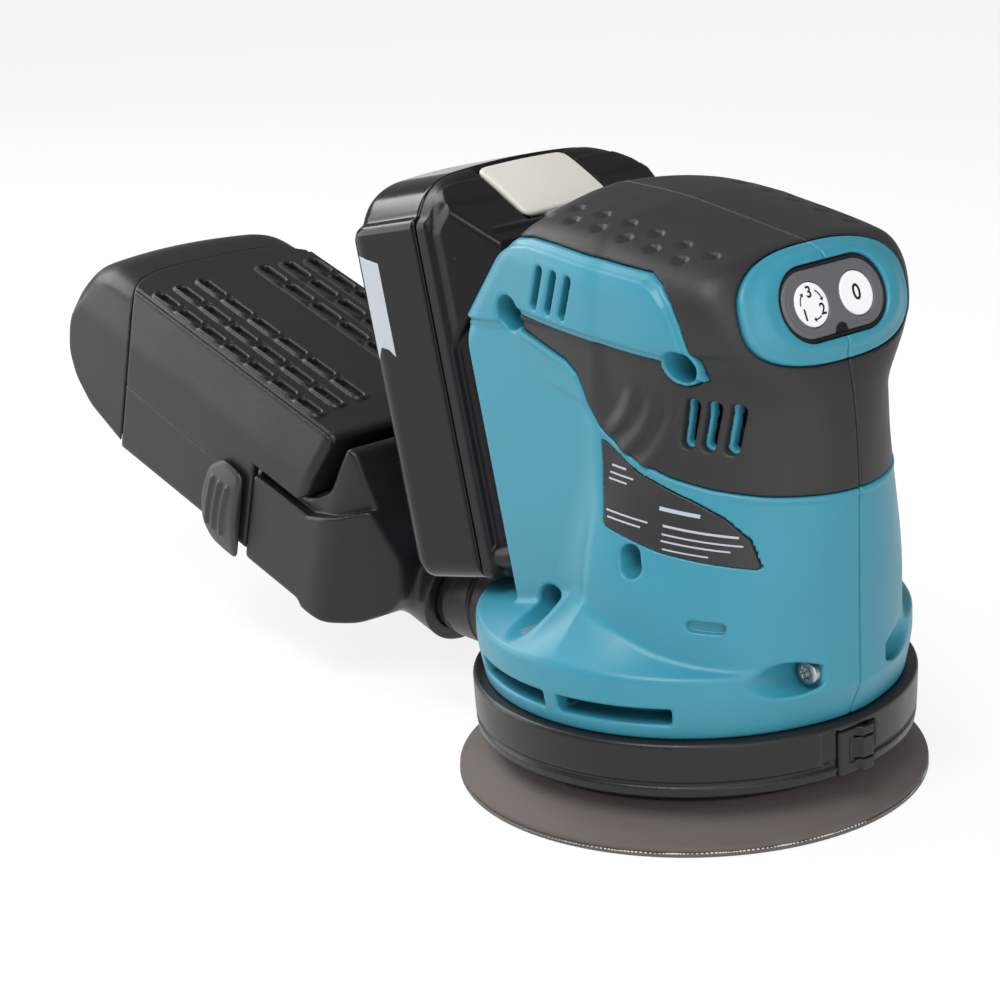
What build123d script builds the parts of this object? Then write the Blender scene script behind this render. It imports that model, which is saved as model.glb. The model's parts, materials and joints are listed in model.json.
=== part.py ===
"""Cordless random-orbit sander: battery, dust box, two-shell housing and an orbiting pad.

Frame, in millimetres: the origin is the centre of the pad's sanding face, +X points to the switch
panel at the front, +Y to the tool's left and +Z up. The shells part on the plane Y = 0.
"""

from build123d import *
from math import cos, pi, radians, sin
import os

os.makedirs("parts", exist_ok=True)

# ---- driving dimensions -------------------------------------------------------------------------
ORBIT_R = 1.4                  # the pad's axis stands this far from the rotor's
AXIS_X = ORBIT_R               # rotor axis, with the pad's axis at X = 0 at rest
WALL = 2.5
GRIP_T = 1.6                   # thickness of the overmoulded rubber
BIG = 400.0

PAD_R = 61.5
HOOK_T = 1.2
FOAM_TOP = 10.0
FOAM_TOP_R = 50.0
PLATE_TOP = 13.0
PLATE_R = 47.0
DUST_HOLES = 8
DUST_HOLE_R = 5.0
DUST_PCD_R = 32.5

PAD_BEARING = (5.0, 13.0, 8.0)       # bore radius, outer radius, width
LOWER_BEARING = (4.0, 11.0, 7.0)
UPPER_BEARING = (3.0, 9.5, 6.0)
RUN_GAP = 0.05                 # radial play of a running ball
BALL_FILL = 0.786              # share of a bearing's track that its balls fill
PAD_BEARING_Z = 18.5
LOWER_BEARING_Z = 46.0
UPPER_BEARING_Z = 118.5

SHAFT_R = 4.0
SHAFT_BOTTOM = 30.0
SHAFT_TOP = 124.0
WEIGHT_BOTTOM = 17.5
WEIGHT_TOP = 33.0
WEIGHT_R = 16.5
FAN_R = 42.0
FAN_BOTTOM = 34.0
FAN_TOP = 42.0
FAN_BLADES = 12

SKIRT_R = 57.5
SKIRT_BOTTOM = 14.2
SKIRT_TOP = 28.0
BASE_BOTTOM = 28.5
BASE_WAIST_Z = 40.0
BASE_SHELF_Z = 44.5
BASE_TOP = 56.5
BASE_R = (54.3, 56.2, 56.0, 45.0)    # at the four heights above
BEARING_PLATE = (43.5, 46.0, 49.0)   # bottom, top, radius

COLUMN_X = 8.0
COLUMN_RX = 52.0
COLUMN_RY = 44.0
CHEEK_Y = 37.5                 # half width across the battery's cheeks

MOTOR_R = 18.0
MOTOR_WALL = 1.2
MOTOR_BOTTOM = 64.0
MOTOR_TOP = 112.0
MAGNET_T = 3.6
ARMATURE_R = 12.4
ARMATURE_SLOTS = 8
COMMUTATOR_R = 6.0
COMMUTATOR = (101.0, 109.0)
BRUSH_Z = 105.0

BATTERY_TILT = 13.0
BAT_REAR = -57.2               # along the battery's depth
BAT_SEAM = -25.5
BAT_FACE = -13.7
BAT_RAIL = -4.2
BAT_BOTTOM = 57.0              # along the battery's length
BAT_TOP = 163.0
BAT_Y = 37.5
RAIL_BOTTOM = 62.0
RAIL_TOP = 147.0
RAIL_NECK_Y = 25.0
RAIL_HEAD_Y = 29.0
RAIL_LIP = 3.0
SLIDE_GAP = 0.4
CELL_R = 9.1
CELL_L = 65.0
CELL_PITCH = 18.6
CELL_ROWS = 5
BLADE_Y = 12.0

DUST_TILT = 16.0
BOX_Y = 37.0
BOX_TOP = 42.0                 # along the dust box's own height
BOX_BEVEL = 27.0
BOX_TOP_Y = 33.0
BOX_STEP = 19.0
BOX_BOTTOM = -9.0
NOSE_BOTTOM = -11.4
BOX_FRONT = 118.8              # along the dust box's length, from the rotor
BOX_SILL = 130.0               # where the filter case's floor meets its sloping front
BOX_JOIN = 150.0
CAP_JOIN = 221.0
CAP_REAR = 256.5
JOIN_GAP = 0.4
BOX_WALL = 2.0
PAPER_GAP = 0.4
PAPER_T = 1.0
# grille rows: offset from the middle, first slot, pitch, slot length, slots in the row
GRILLE_ROWS = ((11.2, 138.0, 13.7, 11.0, 6), (19.8, 137.0, 13.8, 10.6, 6), (28.2, 135.2, 11.85, 9.0, 7))
GRILLE_WIDTH = 2.5
COLLAR = (92.0, 102.0, 17.0)   # start, end and outer radius of the collar round the nozzle
COLLAR_N = 0.33                # the nozzle's axis, along the dust box's height
LATCH = (148.0, 168.0, -12.0, 20.0)
LATCH_PIVOT = 167.4

NOZZLE_R = 13.0
NOZZLE_WALL = 2.0
NOZZLE_Z = 25.0
NOZZLE_INNER_R = 50.0          # the pipe starts this far from the rotor's axis
NOZZLE_BEND_X = -86.0
NOZZLE_STRAIGHT = 24.0

PANEL_LEAN = 21.8
PANEL_X = 51.94
PANEL_Z = 132.8
PANEL_HALF_Y = 17.6
PANEL_HALF_U = 9.1
BEZEL_HALF_Y = 27.9
BEZEL_HALF_U = 14.6
BUTTON_R = 5.4
BUTTON_Y = 7.6
BUTTON_U = -0.2
BUTTON_FLANGE = 0.5
BUTTON_FACE = 0.2              # top of the buttons above the panel's plane

HOUSING_SCREWS = ((22.4, 70.5), (54.2, 42.4), (-17.4, 50.5), (35.6, 120.2), (-21.8, 124.6))
SCREW_HEAD_R = 3.2
SCREW_R = 1.5
SCREW_SEAT = 16.0              # depth of a screw's head from the parting plane


# ---- helpers ------------------------------------------------------------------------------------
def tube(outer, inner, bottom, top, x=AXIS_X, y=0.0):
    ring = Cylinder(outer, top - bottom) - Cylinder(inner, top - bottom)
    return Pos(x, y, (bottom + top) / 2) * ring


def rod(radius, bottom, top, x=AXIS_X, y=0.0):
    return Pos(x, y, (bottom + top) / 2) * Cylinder(radius, top - bottom)


def block(x_range, y_range, z_range):
    size = [high - low for low, high in (x_range, y_range, z_range)]
    middle = [(high + low) / 2 for low, high in (x_range, y_range, z_range)]
    return Pos(*middle) * Box(*size)


def revolved(points, x=AXIS_X):
    """Turns an outline of (radius, z) points about the vertical axis at x."""
    face = make_face(Plane.XZ * Polyline(*points, close=True))
    return Pos(x, 0, 0) * revolve(face, Axis.Z)


def side_prism(sketch, half_y):
    """Extrudes an XZ sketch both ways along Y."""
    return extrude(Plane.XZ * sketch, amount=half_y, both=True)


def cross_rod(radius, x, z, y_low, y_high):
    return Pos(x, (y_low + y_high) / 2, z) * Rotation(90, 0, 0) * Cylinder(radius, y_high - y_low)


def ring_of(piece, count, start=0.0, x=AXIS_X):
    """Copies a piece, made about the origin's vertical axis, around the axis at x."""
    step = 360.0 / count
    return [Pos(x, 0, 0) * Rotation(0, 0, start + index * step) * piece for index in range(count)]


def save(name, *shapes):
    solids = [solid for shape in shapes for solid in shape.solids()]
    export_step(Compound(solids), f"parts/{name}.step")


def in_battery(shape):
    """Battery axes (depth, width, length) to the part's frame."""
    return Rotation(0, -BATTERY_TILT, 0) * shape


def in_dust_box(shape):
    """Dust box axes, with X forward along its length and Z square to its lid."""
    return Rotation(0, DUST_TILT, 0) * shape


def ball_bearing(name, sizes, bottom, x):
    """A bearing as outer race, inner race and a ring of balls, each in a node of its own."""
    bore_r, outer_r, width = sizes
    middle_r = (bore_r + outer_r) / 2
    ball_r = (outer_r - bore_r) * 0.26
    middle_z = bottom + width / 2
    track = Pos(x, 0, middle_z) * Torus(middle_r, ball_r + RUN_GAP)
    lip = ball_r * 0.62
    outer = tube(outer_r, middle_r + lip, bottom, bottom + width, x) - track
    inner = tube(middle_r - lip, bore_r, bottom, bottom + width, x) - track
    count = int(BALL_FILL * pi * middle_r / ball_r)
    balls = ring_of(Pos(middle_r, 0, middle_z) * Sphere(ball_r), count, 0.0, x)
    save(f"{name}_outer_race", outer)
    save(f"{name}_inner_race", inner)
    save(f"{name}_balls", *balls)


# ---- pad ----------------------------------------------------------------------------------------
def dust_holes(bottom, top):
    hole = Pos(DUST_PCD_R, 0, (bottom + top) / 2) * Cylinder(DUST_HOLE_R, top - bottom)
    return ring_of(hole, DUST_HOLES, 22.5, 0.0)


def make_pad():
    """Hook face, foam, hub plate, spindle and screw, all about the pad's own axis at X = 0."""
    head_r, head_top, shank_r, spindle_top = 6.5, 7.0, 3.0, 28.5
    hook = rod(PAD_R, 0, HOOK_T, 0) - rod(head_r + 2, -1, HOOK_T + 1, 0)
    foam = revolved([(0, HOOK_T), (PAD_R, HOOK_T), (PAD_R - 0.6, HOOK_T + 1.6),
                     (FOAM_TOP_R, FOAM_TOP), (0, FOAM_TOP)], 0.0)
    foam -= rod(head_r + 2, 0, FOAM_TOP + 1, 0)
    plate = rod(PLATE_R, FOAM_TOP, PLATE_TOP, 0) + rod(9.0, PLATE_TOP, PAD_BEARING_Z - 0.5, 0)
    cup = tube(head_r + 2, head_r + 0.5, 2.2, FOAM_TOP, 0)
    floor = tube(head_r + 2, shank_r, head_top, FOAM_TOP, 0)
    plate = plate + cup + floor - rod(shank_r, 0, BIG, 0)
    plate -= rod(5.0, PAD_BEARING_Z - 4.5, BIG, 0)
    for hole in dust_holes(-1, 20):
        hook, foam, plate = hook - hole, foam - hole, plate - hole
    save("hook_face", hook)
    save("foam_pad", foam)
    save("pad_plate", plate)
    spindle = rod(5.0, PAD_BEARING_Z - 4.5, spindle_top, 0)
    spindle += rod(6.4, PAD_BEARING_Z + PAD_BEARING[2], spindle_top, 0)
    save("pad_spindle", spindle - rod(shank_r, 0, spindle_top - 2, 0))
    socket = extrude(Pos(0, 0, 2.6) * RegularPolygon(3.0, 6), amount=3.0)
    save("pad_screw", rod(head_r, 2.6, head_top, 0) + rod(shank_r, head_top, spindle_top - 3, 0) - socket)
    ball_bearing("pad_bearing", PAD_BEARING, PAD_BEARING_Z, 0.0)


# ---- rotor --------------------------------------------------------------------------------------
def make_rotor():
    """Everything that turns with the motor's shaft."""
    collar_r, collar_top = 6.0, LOWER_BEARING_Z
    shaft = rod(SHAFT_R, SHAFT_BOTTOM, UPPER_BEARING_Z - 2)
    shaft += rod(UPPER_BEARING[0], UPPER_BEARING_Z - 2, SHAFT_TOP)
    shaft += rod(collar_r, FAN_TOP + 0.5, collar_top)
    save("motor_shaft", shaft)
    seat = rod(PAD_BEARING[1], WEIGHT_BOTTOM, PAD_BEARING_Z + PAD_BEARING[2], 0.0)
    room = rod(9.0, WEIGHT_BOTTOM, SHAFT_BOTTOM - 0.2, 0.0)
    lobe = Pos(AXIS_X, 0, (26 + WEIGHT_TOP) / 2) * Cylinder(30, WEIGHT_TOP - 26)
    lobe &= block((AXIS_X + 6, 60), (-24, 24), (26, WEIGHT_TOP))
    weight = rod(WEIGHT_R, WEIGHT_BOTTOM, WEIGHT_TOP) + lobe
    save("counterweight", weight - seat - room - rod(SHAFT_R, SHAFT_BOTTOM - 0.2, BIG))
    make_fan()
    core_z = (70.0, 94.0)
    core = tube(ARMATURE_R, SHAFT_R, *core_z)
    slot = Pos(9.4, 0, sum(core_z) / 2) * Cylinder(2.2, 40)
    mouth = Pos(11.6, 0, sum(core_z) / 2) * Box(4, 1.4, 40)
    for cut in ring_of(slot, ARMATURE_SLOTS) + ring_of(mouth, ARMATURE_SLOTS):
        core -= cut
    save("armature_core", core)
    wire = Pos(9.4, 0, sum(core_z) / 2) * Cylinder(2.1, core_z[1] - core_z[0])
    windings = tube(11.6, SHAFT_R + 0.6, core_z[0] - 4, core_z[0])
    windings += tube(11.6, SHAFT_R + 0.6, core_z[1], core_z[1] + 5)
    for coil in ring_of(wire, ARMATURE_SLOTS):
        windings += coil
    save("armature_windings", windings)
    bars = tube(COMMUTATOR_R, SHAFT_R, *COMMUTATOR)
    for gap in ring_of(Pos(COMMUTATOR_R, 0, sum(COMMUTATOR) / 2) * Box(1.2, 0.5, 40), ARMATURE_SLOTS):
        bars -= gap
    save("commutator", bars)


def make_fan():
    """Radial blades under a back plate, which draw dust from the pad to the nozzle."""
    fan = tube(FAN_R, SHAFT_R, FAN_TOP - 1.6, FAN_TOP) + tube(8.0, SHAFT_R, FAN_BOTTOM, FAN_TOP)
    blade = Pos((FAN_R + 16) / 2, 0, (FAN_BOTTOM + FAN_TOP) / 2) * Rotation(0, 0, 22)
    blade *= Box(FAN_R - 18, 1.4, FAN_TOP - FAN_BOTTOM)
    for one in ring_of(blade, FAN_BLADES):
        fan += one & rod(FAN_R, FAN_BOTTOM, FAN_TOP)
    save("dust_fan", fan)


# ---- motor --------------------------------------------------------------------------------------
def make_motor():
    """The parts of the motor that stand still, and the plate that carries the lower bearing."""
    inner_r = MOTOR_R - MOTOR_WALL
    can = tube(MOTOR_R, inner_r, MOTOR_BOTTOM, MOTOR_TOP)
    can += tube(MOTOR_R, 7.0, MOTOR_BOTTOM, MOTOR_BOTTOM + MOTOR_WALL)
    vent = Pos(12.0, 0, MOTOR_BOTTOM) * Box(6, 4, 6)
    for cut in ring_of(vent, 6):
        can -= cut
    save("motor_can", can)
    ring = tube(inner_r, inner_r - MAGNET_T, 68, 97)
    halves = [block((-60, 60), y_range, (60, 100)) for y_range in ((4, 40), (-40, -4))]
    save("field_magnets", *[ring & half for half in halves])
    bell = tube(MOTOR_R, inner_r - 2, MOTOR_TOP, MOTOR_TOP + 3)
    bell += tube(inner_r, UPPER_BEARING[1], MOTOR_TOP + 3, UPPER_BEARING_Z + UPPER_BEARING[2])
    bell += tube(UPPER_BEARING[1], 6.5, MOTOR_TOP + 3, UPPER_BEARING_Z)
    bell += tube(MOTOR_R, UPPER_BEARING[1], MOTOR_TOP + 1, MOTOR_TOP + 4)
    bell += tube(inner_r, inner_r - 1.6, 100, MOTOR_TOP + 1)
    brushes, holders = [], []
    for side in (-1, 1):
        holder = Pos(AXIS_X + side * 11.2, 0, BRUSH_Z) * Box(9.0, 7.6, 8.4)
        brush = Pos(AXIS_X + side * (COMMUTATOR_R + 4.3), 0, BRUSH_Z) * Box(8.0, 4.6, 5.4)
        bell += holder - brush
        brushes.append(brush)
    save("brush_end_bell", bell - rod(inner_r - 6, 90, BRUSH_Z - 5) - brushes[0] - brushes[1])
    save("carbon_brushes", *brushes)
    bottom, top, plate_r = BEARING_PLATE
    plate = tube(plate_r, LOWER_BEARING[1], bottom, top)
    cup_top = LOWER_BEARING_Z + LOWER_BEARING[2]
    plate += tube(LOWER_BEARING[1] + 2.4, LOWER_BEARING[1], bottom, cup_top)
    plate += tube(LOWER_BEARING[1], 7.5, bottom, LOWER_BEARING_Z)
    for cut in ring_of(Pos(30, 0, (bottom + top) / 2) * Cylinder(4.5, 10), 6, 30):
        plate -= cut
    save("bearing_plate", plate)
    ball_bearing("lower_bearing", LOWER_BEARING, LOWER_BEARING_Z, AXIS_X)
    ball_bearing("upper_bearing", UPPER_BEARING, UPPER_BEARING_Z, AXIS_X)


# ---- housing ------------------------------------------------------------------------------------
def side_outline(inset):
    """Side view of column and head: rail face, chamfered tail, crown, leaning panel and front."""
    rail = [(-24.3, 47.0), (-41.0, 119.2), (-22.0, 150.5)]
    crown = [(-5.0, 152.0), (6.0, 151.6), (22.0, 149.8), (42.0, 147.0)]
    front = [(46.8, 145.6), (57.9, 118.0), (59.2, 103.0), (59.9, 84.0), (59.9, 38.0), (55.6, BASE_BOTTOM)]
    outline = make_face(Polyline(*rail, *crown, *front, close=True))
    return offset(outline, amount=-inset) if inset else outline


def front_outline(inset):
    """Front view: wide at the foot, waisted at the grip, with a domed head."""
    half = [(40.5, BASE_BOTTOM), (44.0, 38.0), (44.0, 62.0), (42.0, 80.0), (37.5, 100.0), (38.0, 118.0),
            (38.0, 138.0), (30.0, 148.0), (12.0, 153.5)]
    points = [(-y, z) for y, z in half] + [(y, z) for y, z in reversed(half)]
    outline = make_face(Polyline(*points, close=True))
    return offset(outline, amount=-inset) if inset else outline


def plan_outline(inset):
    """Plan view: an oval column with straight cheeks beside the battery."""
    cheeks = Pos(-20.0, 0) * Rectangle(56.0 - 2 * inset, 2 * (CHEEK_Y - inset))
    return Pos(COLUMN_X, 0) * Ellipse(COLUMN_RX - inset, COLUMN_RY - inset) + cheeks


def envelope(inset):
    """The housing's outer form, drawn in by inset on every side but the open bottom."""
    upper = side_prism(side_outline(inset), 60)
    upper &= extrude(Plane.YZ * front_outline(inset), amount=90, both=True)
    upper &= extrude(plan_outline(inset), amount=200)
    heights = (BASE_BOTTOM, BASE_WAIST_Z, BASE_SHELF_Z, BASE_TOP)
    outline = [(0.0, heights[0])] + [(r - inset, z - (inset if z > BASE_WAIST_Z else 0)) for r, z in
                                     zip(BASE_R, heights)]
    outline.append((0.0, BASE_TOP - inset))
    return upper + revolved(outline)


def grip_region():
    """Side view of the rubber: crown, the strip ahead of the side panel, and the band round the neck."""
    low = [(75.0, 86.8), (50.0, 88.4), (30.0, 91.8), (15.0, 97.5), (6.8, 105.8), (2.4, 113.4), (-1.5, 116.0),
           (-18.0, 120.6)]
    panel = [(-18.0, 125.0), (31.0, 121.3), (40.8, 116.6), (38.6, 125.0), (34.5, 135.6), (27.0, 141.4),
             (5.0, 143.0), (-14.0, 144.3), (-25.0, 141.3), (-48.0, 126.0)]
    crown = [(-48.0, 175.0), (75.0, 175.0)]
    region = side_prism(make_face(Polyline(*low, *panel, *crown, close=True)), 60)
    return region - extrude(panel_plane(-18) * stadium(BEZEL_HALF_Y, BEZEL_HALF_U), amount=60)


def bay(grow):
    """The battery bay: a T-shaped channel along the rail face, open at the top."""
    neck = block((BAT_FACE - 5, BAT_FACE + RAIL_LIP), (-RAIL_NECK_Y - grow, RAIL_NECK_Y + grow),
                 (RAIL_BOTTOM - grow, BAT_TOP + 20))
    head = block((BAT_FACE + RAIL_LIP - grow, BAT_RAIL + grow), (-RAIL_HEAD_Y - grow, RAIL_HEAD_Y + grow),
                 (RAIL_BOTTOM - grow, BAT_TOP + 20))
    return in_battery(neck + head)


def panel_plane(depth):
    lean = radians(PANEL_LEAN)
    normal = (cos(lean), 0, sin(lean))
    origin = (PANEL_X + depth * normal[0], 0, PANEL_Z + depth * normal[2])
    return Plane(origin=origin, x_dir=(0, 1, 0), z_dir=normal)


def stadium(half_y, half_u):
    return SlotOverall(2 * half_y, 2 * half_u)


def vents():
    """Cooling slots through both sides, and the curved windows in the foot."""
    cuts = []
    for index in range(3):
        head_slot = Pos(-9.3 + 5.3 * index, 0, 133.2 - 0.5 * index) * Rotation(0, 17, 0) * Box(2.5, 100, 11.8)
        neck_slot = Pos(34.8 + 4.7 * index, 0, 105.5 - 0.45 * index) * Rotation(0, 8, 0) * Box(2.5, 100, 11.8)
        cuts += [head_slot, neck_slot]
    band = tube(BASE_R[1] + 5, 46.0, 32.4, 36.8)
    for low, high in ((243, 274.2), (278.6, 310.5)):
        for side in (1, -1):
            cuts.append(band & sector(side * low, side * high))
    return cuts


def sector(start, end):
    """A wedge about the rotor's axis between two bearings in degrees."""
    reach = 120.0
    points = [(0.0, 0.0)] + [(reach * cos(radians(angle)), reach * sin(radians(angle))) for angle in
                             (start, (start + end) / 2, end)]
    return Pos(AXIS_X, 0, 0) * extrude(make_face(Polyline(*points, close=True)), amount=200)


def make_housing():
    outer, under_grip, inner = envelope(0), envelope(GRIP_T), envelope(WALL + GRIP_T / 2)
    grip = outer & grip_region()
    grip -= under_grip
    pocket = extrude(panel_plane(-12) * stadium(PANEL_HALF_Y, PANEL_HALF_U), amount=30)
    grip -= pocket
    channel_y = RAIL_HEAD_Y + 2.4
    channel_back = BAT_RAIL + SLIDE_GAP + 2
    channel_wall = block((BAT_FACE, channel_back), (-channel_y, channel_y), (RAIL_BOTTOM - 8, BAT_TOP + 10))
    channel_wall = in_battery(channel_wall)
    shell = outer - inner + (channel_wall & outer)
    ribs = []
    for low in (70.0, 104.0):
        ribs.append((inner & block((-60, 70), (-60, 60), (low, low + 2))) - rod(MOTOR_R + 0.1, 0, BIG))
    for rib in ribs:
        shell += rib
    for x, z in HOUSING_SCREWS:
        shell += cross_rod(4.5, x, z, -50, 50) & outer
    shell -= rod(MOTOR_R + 0.1, MOTOR_BOTTOM - 1, SHAFT_TOP + 3)
    seat = in_battery(block((BAT_REAR - 20, BAT_FACE + 0.3), (-60, 60), (BAT_BOTTOM - SLIDE_GAP, 220)))
    grip -= seat + bay(SLIDE_GAP)
    shell = shell - seat - grip - bay(SLIDE_GAP) - pocket - nozzle_solid() - in_battery(terminal_seat())
    shell -= rod(BEARING_PLATE[2] + 0.1, 20, BEARING_PLATE[1])
    for x, z in HOUSING_SCREWS:
        shell -= cross_rod(SCREW_HEAD_R + 0.3, x, z, -60, -SCREW_SEAT)
        shell -= cross_rod(SCREW_R, x, z, -60, 12)
        grip -= cross_rod(SCREW_HEAD_R + 0.3, x, z, -60, -SCREW_SEAT)
    for cut in vents():
        shell -= cut
        grip -= cut
    left, right = block((-100, 100), (0, 100), (0, 200)), block((-100, 100), (-100, 0), (0, 200))
    save("left_housing", largest(shell & left))
    save("right_housing", largest(shell & right))
    save("left_grip", largest(grip & left))
    save("right_grip", largest(grip & right))
    screws = []
    for x, z in HOUSING_SCREWS:
        screw = cross_rod(SCREW_HEAD_R, x, z, -SCREW_SEAT - 2.4, -SCREW_SEAT)
        screw += cross_rod(SCREW_R, x, z, -SCREW_SEAT, 11)
        screws.append(screw - cross_rod(1.2, x, z, -SCREW_SEAT - 2.4, -SCREW_SEAT - 1))
    save("housing_screws", *screws)


def largest(shape):
    return max(shape.solids(), key=lambda solid: solid.volume)


# ---- skirt and nozzle ---------------------------------------------------------------------------
def nozzle_solid(radius=NOZZLE_R):
    """The pipe without its bore: level out of the fan chamber, then tilted up to the dust box."""
    level_end = NOZZLE_BEND_X
    level = Pos((level_end - 20) / 2, 0, NOZZLE_Z) * Rotation(0, 90, 0) * Cylinder(radius, -20 - level_end)
    elbow = Pos(level_end, 0, NOZZLE_Z) * Sphere(radius)
    rise = Pos(0, 0, NOZZLE_STRAIGHT / 2) * Cylinder(radius, NOZZLE_STRAIGHT)
    rise = Rotation(0, -90 + DUST_TILT, 0) * rise
    pipe = level + elbow + Pos(level_end, 0, NOZZLE_Z) * rise
    return pipe - rod(NOZZLE_INNER_R, 0, 200)


def make_skirt():
    """The black ring round the pad's rim, the clasp that closes it and the dust nozzle."""
    top, bottom, outer = SKIRT_TOP, SKIRT_BOTTOM, SKIRT_R
    skirt = revolved([(outer - 0.7, bottom), (outer - 0.5, bottom + 2.4), (outer - 1.2, bottom + 3.2),
                      (outer - 0.8, bottom + 4.0), (outer, top - 1.5), (outer - 1.2, top), (48.0, top),
                      (48.0, top - 2.0), (outer - 3.2, top - 2.0), (outer - 3.6, bottom + 5.0),
                      (44.5, bottom + 5.0), (44.5, bottom + 3.0), (outer - 3.2, bottom + 3.0),
                      (outer - 3.2, bottom)])
    clasp_x = AXIS_X + outer
    gap = block((clasp_x - 4.5, clasp_x + 6), (-6.4, 6.4), (bottom - 1, bottom + 12.0))
    skirt -= gap
    skirt -= nozzle_solid(NOZZLE_R)
    save("dust_skirt", skirt)
    pin_x, pin_y = clasp_x + 0.4, 2.6
    clasp = block((clasp_x - 4.3, clasp_x + 1.8), (-6.2, 6.2), (bottom, bottom + 11.6))
    clasp &= rod(outer + 1.6, 0, 60)
    save("skirt_clasp", clasp - rod(1.2, 0, 60, pin_x - 1.6, pin_y))
    save("clasp_pin", rod(1.2, bottom + 0.4, bottom + 11.0, pin_x - 1.6, pin_y))
    brake_z = PLATE_TOP + 0.5
    brake = revolved([(44.0, brake_z), (46.6, brake_z), (48.6, bottom + 3.0), (45.0, bottom + 3.0)])
    save("brake_ring", brake)
    save("dust_nozzle", nozzle_solid() - nozzle_solid(NOZZLE_R - NOZZLE_WALL))


# ---- switch panel and electronics ---------------------------------------------------------------
def make_panel():
    """Leaning panel with two push buttons, and the board behind it."""
    plate = extrude(panel_plane(-3.0) * stadium(PANEL_HALF_Y - 0.2, PANEL_HALF_U - 0.2), amount=2.4)
    well = extrude(panel_plane(-14.0) * stadium(PANEL_HALF_Y - 0.2, PANEL_HALF_U - 0.2), amount=11.0)
    well -= extrude(panel_plane(-14.0) * stadium(PANEL_HALF_Y - 2.0, PANEL_HALF_U - 2.0), amount=11.0)
    plate += well
    for side in (-1, 1):
        centre = Pos(side * BUTTON_Y, BUTTON_U)
        plate -= extrude(panel_plane(-6.0) * centre * Circle(BUTTON_R + 0.3), amount=20)
    lamp = extrude(panel_plane(-2.4) * Pos(0, -7.2) * Rectangle(3.6, 1.6), amount=2.2)
    save("switch_panel", plate - lamp)
    save("power_lamp", lamp)
    for side, name in ((-1, "speed_button"), (1, "stop_button")):
        centre = Pos(side * BUTTON_Y, BUTTON_U)
        cap = extrude(panel_plane(-3.2) * centre * Circle(BUTTON_R), amount=3.2 + BUTTON_FACE)
        cap += extrude(panel_plane(-4.6) * centre * Circle(BUTTON_R + BUTTON_FLANGE), amount=1.5)
        cap += extrude(panel_plane(-8.0) * centre * Circle(1.4), amount=3.5)
        save(name, cap)
    board = extrude(panel_plane(-12.4) * stadium(14.6, 6.2), amount=1.4)
    for side in (-1, 1):
        board += extrude(panel_plane(-11.0) * Pos(side * BUTTON_Y, BUTTON_U) * Rectangle(5, 5), amount=1.5)
    save("switch_board", board)
    unit = block((27.0, 45.0), (-17.0, 17.0), (78.0, 102.0))
    unit -= block((29.0, 46.0), (-15.0, 15.0), (80.0, 100.0))
    save("controller_case", unit)
    potting = block((29.0, 43.5), (-15.0, 15.0), (80.0, 100.0))
    save("controller_board", potting)
    save("rating_label", label_plate())


def label_plate():
    """The printed label, a thin skin on the right shell below the grip."""
    outline = Polyline((10.4, 98.6), (14.6, 96.2), (21.0, 92.0), (30.0, 88.9), (37.0, 86.4), (43.5, 83.0),
                       (48.4, 78.0), (50.6, 71.0), (30.0, 74.0), (13.2, 78.0), (11.4, 88.0), close=True)
    window = Plane.XZ.offset(1) * make_face(outline)
    skin = (envelope(-0.3) - envelope(0)) & extrude(window, amount=60)
    return largest(skin - grip_region() - cross_rod(SCREW_HEAD_R + 0.6, *HOUSING_SCREWS[0], -60, 60))


# ---- battery ------------------------------------------------------------------------------------
def case_profile():
    """Battery's side view in its own axes (depth, length), with rounded rear corners."""
    points = [(BAT_REAR + 4, BAT_BOTTOM), (BAT_FACE, BAT_BOTTOM), (BAT_FACE, RAIL_TOP + 6.0),
              (BAT_FACE - 8.7, BAT_TOP - 0.6), (BAT_SEAM, BAT_TOP), (BAT_REAR + 6, BAT_TOP),
              (BAT_REAR, BAT_TOP - 6), (BAT_REAR, BAT_BOTTOM + 4)]
    return make_face(Polyline(*points, close=True))


def rounded_box(sketch, half_y, radius):
    """A side profile with its plan and front corners cut to a radius."""
    body = side_prism(sketch, half_y)
    edges = [edge for edge in body.edges() if abs(abs(edge.center().Y) - half_y) < 0.01]
    return fillet(edges, radius)


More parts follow.
